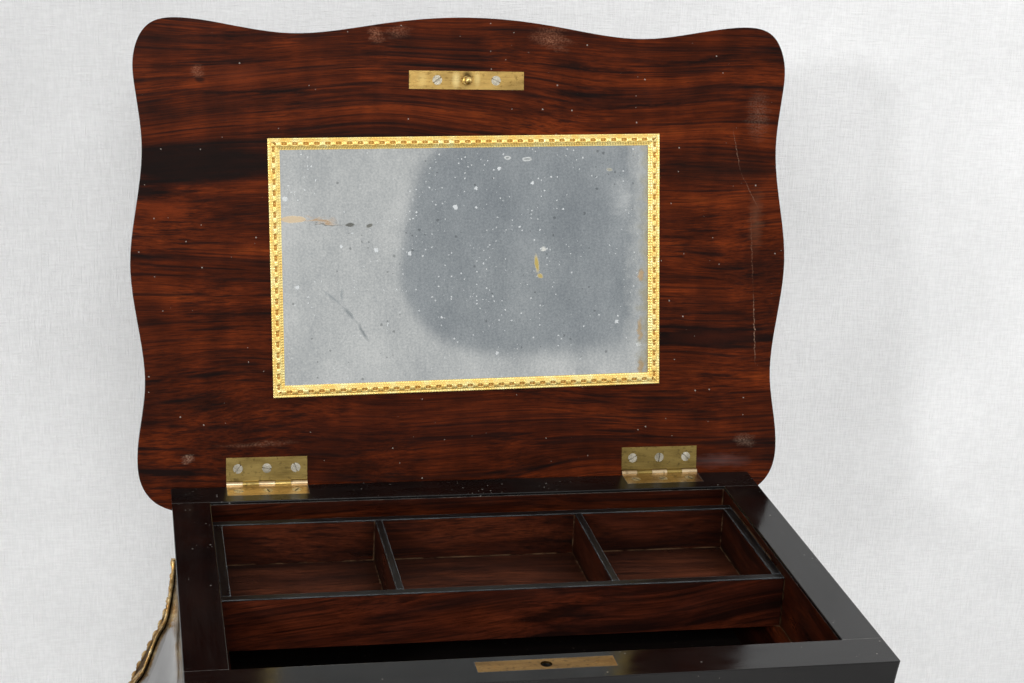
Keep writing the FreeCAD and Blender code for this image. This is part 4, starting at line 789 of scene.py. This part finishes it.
def driven(name, turns, leaf, body):
    """Slotted screws as they were driven: each is the drawn screw, turned about its own axis, which stands
    upright on the leaf, given by its matrix."""
    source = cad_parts[name].data
    flat = leaf.inverted()
    points = np.array([flat @ vertex.co for vertex in source.vertices])
    faces = [tuple(polygon.vertices) for polygon in source.polygons]
    order = np.argsort(points[:, 0], kind="stable")
    gaps = np.diff(points[order, 0], prepend=points[order[0], 0]) > SCREW_GAP
    parts = np.cumsum(gaps)
    for part in range(parts[-1] + 1):
        own = order[parts == part]
        middle = (points[own, :2].min(axis=0) + points[own, :2].max(axis=0)) / 2
        spin = np.array(Matrix.Rotation(math.radians(turns[part % len(turns)]), 2))
        points[own, :2] = (points[own, :2] - middle) @ spin.T + middle
    piece = made_piece(f"{name}_driven", [leaf @ Vector(p) for p in points], faces, screw_steel, body,
                       "screw_steel", name)
    piece.data.polygons.foreach_set("use_smooth", [False] * len(faces))


driven("strike_screws", (52, 118), lid_matrix, "lid")
driven("hinge_screws_lid", (35, 100, -20, 62, 8, -48), lid_matrix, "lid")
driven("hinge_screws_rim", (70, 15, -35, 40, -65, 22), Matrix.Identity(4), "carcase")


# Room. A pale floor and, close behind, a wall hung with white canvas. Both can be seen through from their
# backs, for the views from behind and from below.
def seen_from_front(tree, surface):
    """Ends a finish with this surface, which is clear to a camera that stands behind it."""
    behind = node(tree, "Math", {0: node(tree, "LightPath").outputs["Is Camera Ray"],
                                 1: node(tree, "NewGeometry").outputs["Backfacing"]}, operation="MULTIPLY")
    seen = node(tree, "MixShader", {0: behind, 1: surface, 2: node(tree, "BsdfTransparent")})
    join(next(n for n in tree.nodes if n.type == "OUTPUT_MATERIAL"), {"Surface": seen})


CANVAS_LIFT = 0.08


def canvas():
    """White painted canvas: matt, with slubs along both threads, 1.4 mm wide so that they show. Towards the
    left and in the upper left corner its colour is a little darker, as painted shade."""
    finish, tree, shader = new_finish("painted_canvas", {"Roughness": 0.9, "Specular IOR Level": 0.2})
    place = in_mm(tree)
    weave = node(tree, "Math", {0: stretched(tree, in_mm(tree, UPRIGHT), 13, 1.4),
                                1: stretched(tree, place, 13, 1.4)}, operation="ADD")
    colour = node(tree, "ValToRGB", {0: stretched(tree, place, 160, 160, 6.0)},
                  stops=[(0.35, "#e4e4e4"), (0.65, "#efefef")])
    spot = node(tree, "SeparateXYZ", {0: place})
    # Painted shade: the colour darkens towards the left and into the upper left corner.
    left = node(tree, "MapRange", {"Value": spot.outputs["X"], "From Min": -600, "From Max": -150,
                                   "To Min": 0.925, "To Max": 1.0})
    corner = node(tree, "Math", {0: spot.outputs["X"], 1: spot.outputs["Z"]}, operation="SUBTRACT")
    corner = node(tree, "MapRange", {"Value": corner, "From Min": -1400, "From Max": -1100, "To Min": 0.81,
                                     "To Max": 1.0})
    threads = node(tree, "MapRange", {"Value": weave, "From Min": 0.8, "From Max": 1.2, "To Min": 0.95,
                                      "To Max": 1.035})
    for shade in (left, corner, threads):
        colour = node(tree, "VectorMath", {0: colour, 1: shade}, operation="MULTIPLY")
    join(shader, {"Base Color": colour,
                  "Normal": node(tree, "Bump", {"Height": weave, "Distance": 0.7 * MM})})
    path = node(tree, "LightPath")
    direct = node(tree, "Math", {0: path.outputs["Is Camera Ray"], 1: path.outputs["Is Glossy Ray"]},
                  operation="MAXIMUM")
    lift = node(tree, "Math", {0: direct, 1: CANVAS_LIFT}, operation="MULTIPLY")
    glow = node(tree, "Emission", {"Color": "#ffffff", "Strength": lift})
    seen_from_front(tree, node(tree, "AddShader", {0: shader, 1: glow}))
    return finish


def screen(name, corners, finish):
    """A flat piece of the room with these corners, in metres."""
    mesh = bpy.data.meshes.new(name)
    mesh.from_pydata(corners, [], [(0, 1, 2, 3)])
    mesh.materials.append(finish)
    piece = bpy.data.objects.new(name, mesh)
    bpy.context.scene.collection.objects.link(piece)
    return piece


WALL_Y, ROOM = 0.44, 3.0
SQUARE = ((-1, -1), (1, -1), (1, 1), (-1, 1))
screen("wall", [(x * ROOM, WALL_Y, (z + 1) / 2 * ROOM) for x, z in SQUARE], canvas())


def pale_floor():
    """A plain painted floor: pale and matt, with a faint cloudiness."""
    finish, tree, shader = new_finish("pale_floor", {"Roughness": 0.8})
    colour = node(tree, "ValToRGB", {0: stretched(tree, in_mm(tree), 300, 300, 5.0)},
                  stops=[(0.3, "#dededd"), (0.7, "#e6e6e5")])
    join(shader, {"Base Color": colour})
    seen_from_front(tree, shader)
    return finish


screen("floor", [(x * ROOM, y * ROOM, 0) for x, y in SQUARE], pale_floor())


# Light. A small lamp to the left of the camera gives the shine on the gilding, a large soft one hangs above
# the camera, and a weak one stands to the right, in an even pale room. A dim card behind the camera is seen
# only in the mirror and the polish.
def lamp(name, at, towards, size, watts):
    """A square soft lamp in metres and watts."""
    light = bpy.data.lights.new(name, "AREA")
    light.size, light.energy = size, watts
    piece = bpy.data.objects.new(name, light)
    piece.location = at
    piece.rotation_mode = "QUATERNION"
    piece.rotation_quaternion = (Vector(towards) - Vector(at)).to_track_quat("-Z", "Y")
    bpy.context.scene.collection.objects.link(piece)


lamp("key", (-1.75, -1.9, 1.75), (0.5, 0.1, 0.85), 0.24, 19)
lamp("front", (-0.2, -2.4, 2.35), (0, 0.1, 0.8), 1.0, 17)
lamp("fill", (1.9, -1.3, 1.9), (0.7, 0.4, 0.9), 1.2, 8)


CARD_AT, CARD_SIZE = (0.632, -2.3, 1.216), (0.345, 0.268)
CARD_POINT, CARD_LEAN, CARD_ROUNDING = -0.33, 0.13, 3.5


def dim_card():
    """A dim blue-grey card with rounded corners. Its left edge comes to a blunt point a third below the
    middle, and its edges soften towards the right. Its places run from -1 to 1 each way."""
    finish = bpy.data.materials.new("dim_card")
    finish.use_nodes = True
    tree = finish.node_tree
    tree.nodes.clear()
    flat = node(tree, "Mapping", {"Vector": node(tree, "TexCoord").outputs["Object"],
                                  "Scale": (1 / CARD_SIZE[0], 0, 1 / CARD_SIZE[1])})
    side = node(tree, "SeparateXYZ", {0: flat})
    off = node(tree, "Math", {0: side.outputs["Z"], 1: CARD_POINT}, operation="SUBTRACT")
    off = node(tree, "Math", {0: off}, operation="ABSOLUTE")
    lean = node(tree, "Math", {0: off, 1: CARD_LEAN}, operation="MULTIPLY")
    left = node(tree, "Math", {0: lean, 1: side.outputs["X"]}, operation="SUBTRACT")
    wide = node(tree, "Math", {0: side.outputs["X"], 1: left}, operation="MAXIMUM")
    high = node(tree, "Math", {0: side.outputs["Z"]}, operation="ABSOLUTE")
    far = node(tree, "Math", {0: node(tree, "Math", {0: wide, 1: CARD_ROUNDING}, operation="POWER"),
                              1: node(tree, "Math", {0: high, 1: CARD_ROUNDING}, operation="POWER")},
               operation="ADD")
    soft = node(tree, "MapRange", {"Value": side.outputs["X"], "From Min": -1, "From Max": 1, "To Min": 0.84,
                                   "To Max": 0.2})
    solid = node(tree, "MapRange", {"Value": far, "From Min": 1.0, "From Max": soft},
                 interpolation_type="SMOOTHSTEP")
    tone = node(tree, "ValToRGB", {0: stretched(tree, in_mm(tree), 200, 200)},
                stops=[(0.3, "#a1a6ac"), (0.7, "#b0b4b8")])
    seen = node(tree, "MixShader", {0: solid, 1: node(tree, "BsdfTransparent"),
                                    2: node(tree, "Emission", {"Color": tone})})
    node(tree, "OutputMaterial", {"Surface": seen})
    return finish


card = screen("dim_card", [(x * CARD_SIZE[0], 0, z * CARD_SIZE[1]) for x, z in SQUARE], dim_card())
card.location = CARD_AT
card.visible_camera = card.visible_diffuse = card.visible_shadow = False
world = bpy.data.worlds.new("room")
world.use_nodes = True
world.node_tree.nodes.clear()
sight = node(world.node_tree, "LightPath").outputs["Is Camera Ray"]
ROOM_LIGHT, ROOM_SEEN = (0.74, 0.74, 0.74, 1), (0.8, 0.8, 0.8, 1)
shade = node(world.node_tree, "Mix", {"Factor": sight, "A": ROOM_LIGHT, "B": ROOM_SEEN}, data_type="RGBA")
node(world.node_tree, "OutputWorld", {"Surface": node(world.node_tree, "Background", {"Color": shade})})
bpy.context.scene.world = world

# Camera. It stands where the photograph was taken from: in front, a little to the left and above. Its
# place is in metres, its turns are in radians, and its lens and sensor are in millimetres.
CAMERA_AT, YAW, PITCH, ROLL = Vector((-0.2683, -1.2408, 1.3035)), 0.20918, -0.31599, 0.05057
LENS, SENSOR = 67.08, 36
view = bpy.data.objects.new("camera", bpy.data.cameras.new("camera"))
view.data.lens, view.data.sensor_width = LENS, SENSOR
forward = Vector((math.cos(PITCH) * math.sin(YAW), math.cos(PITCH) * math.cos(YAW), math.sin(PITCH)))
level = Vector((math.cos(YAW), -math.sin(YAW), 0))
rise = level.cross(forward)
right = level * math.cos(ROLL) + rise * math.sin(ROLL)
up = rise * math.cos(ROLL) - level * math.sin(ROLL)
turn = Matrix((right, up, -forward)).transposed()
view.matrix_world = Matrix.Translation(CAMERA_AT) @ turn.to_4x4()
bpy.context.scene.collection.objects.link(view)
bpy.context.scene.camera = view
bpy.context.scene.view_settings.view_transform = "Standard"
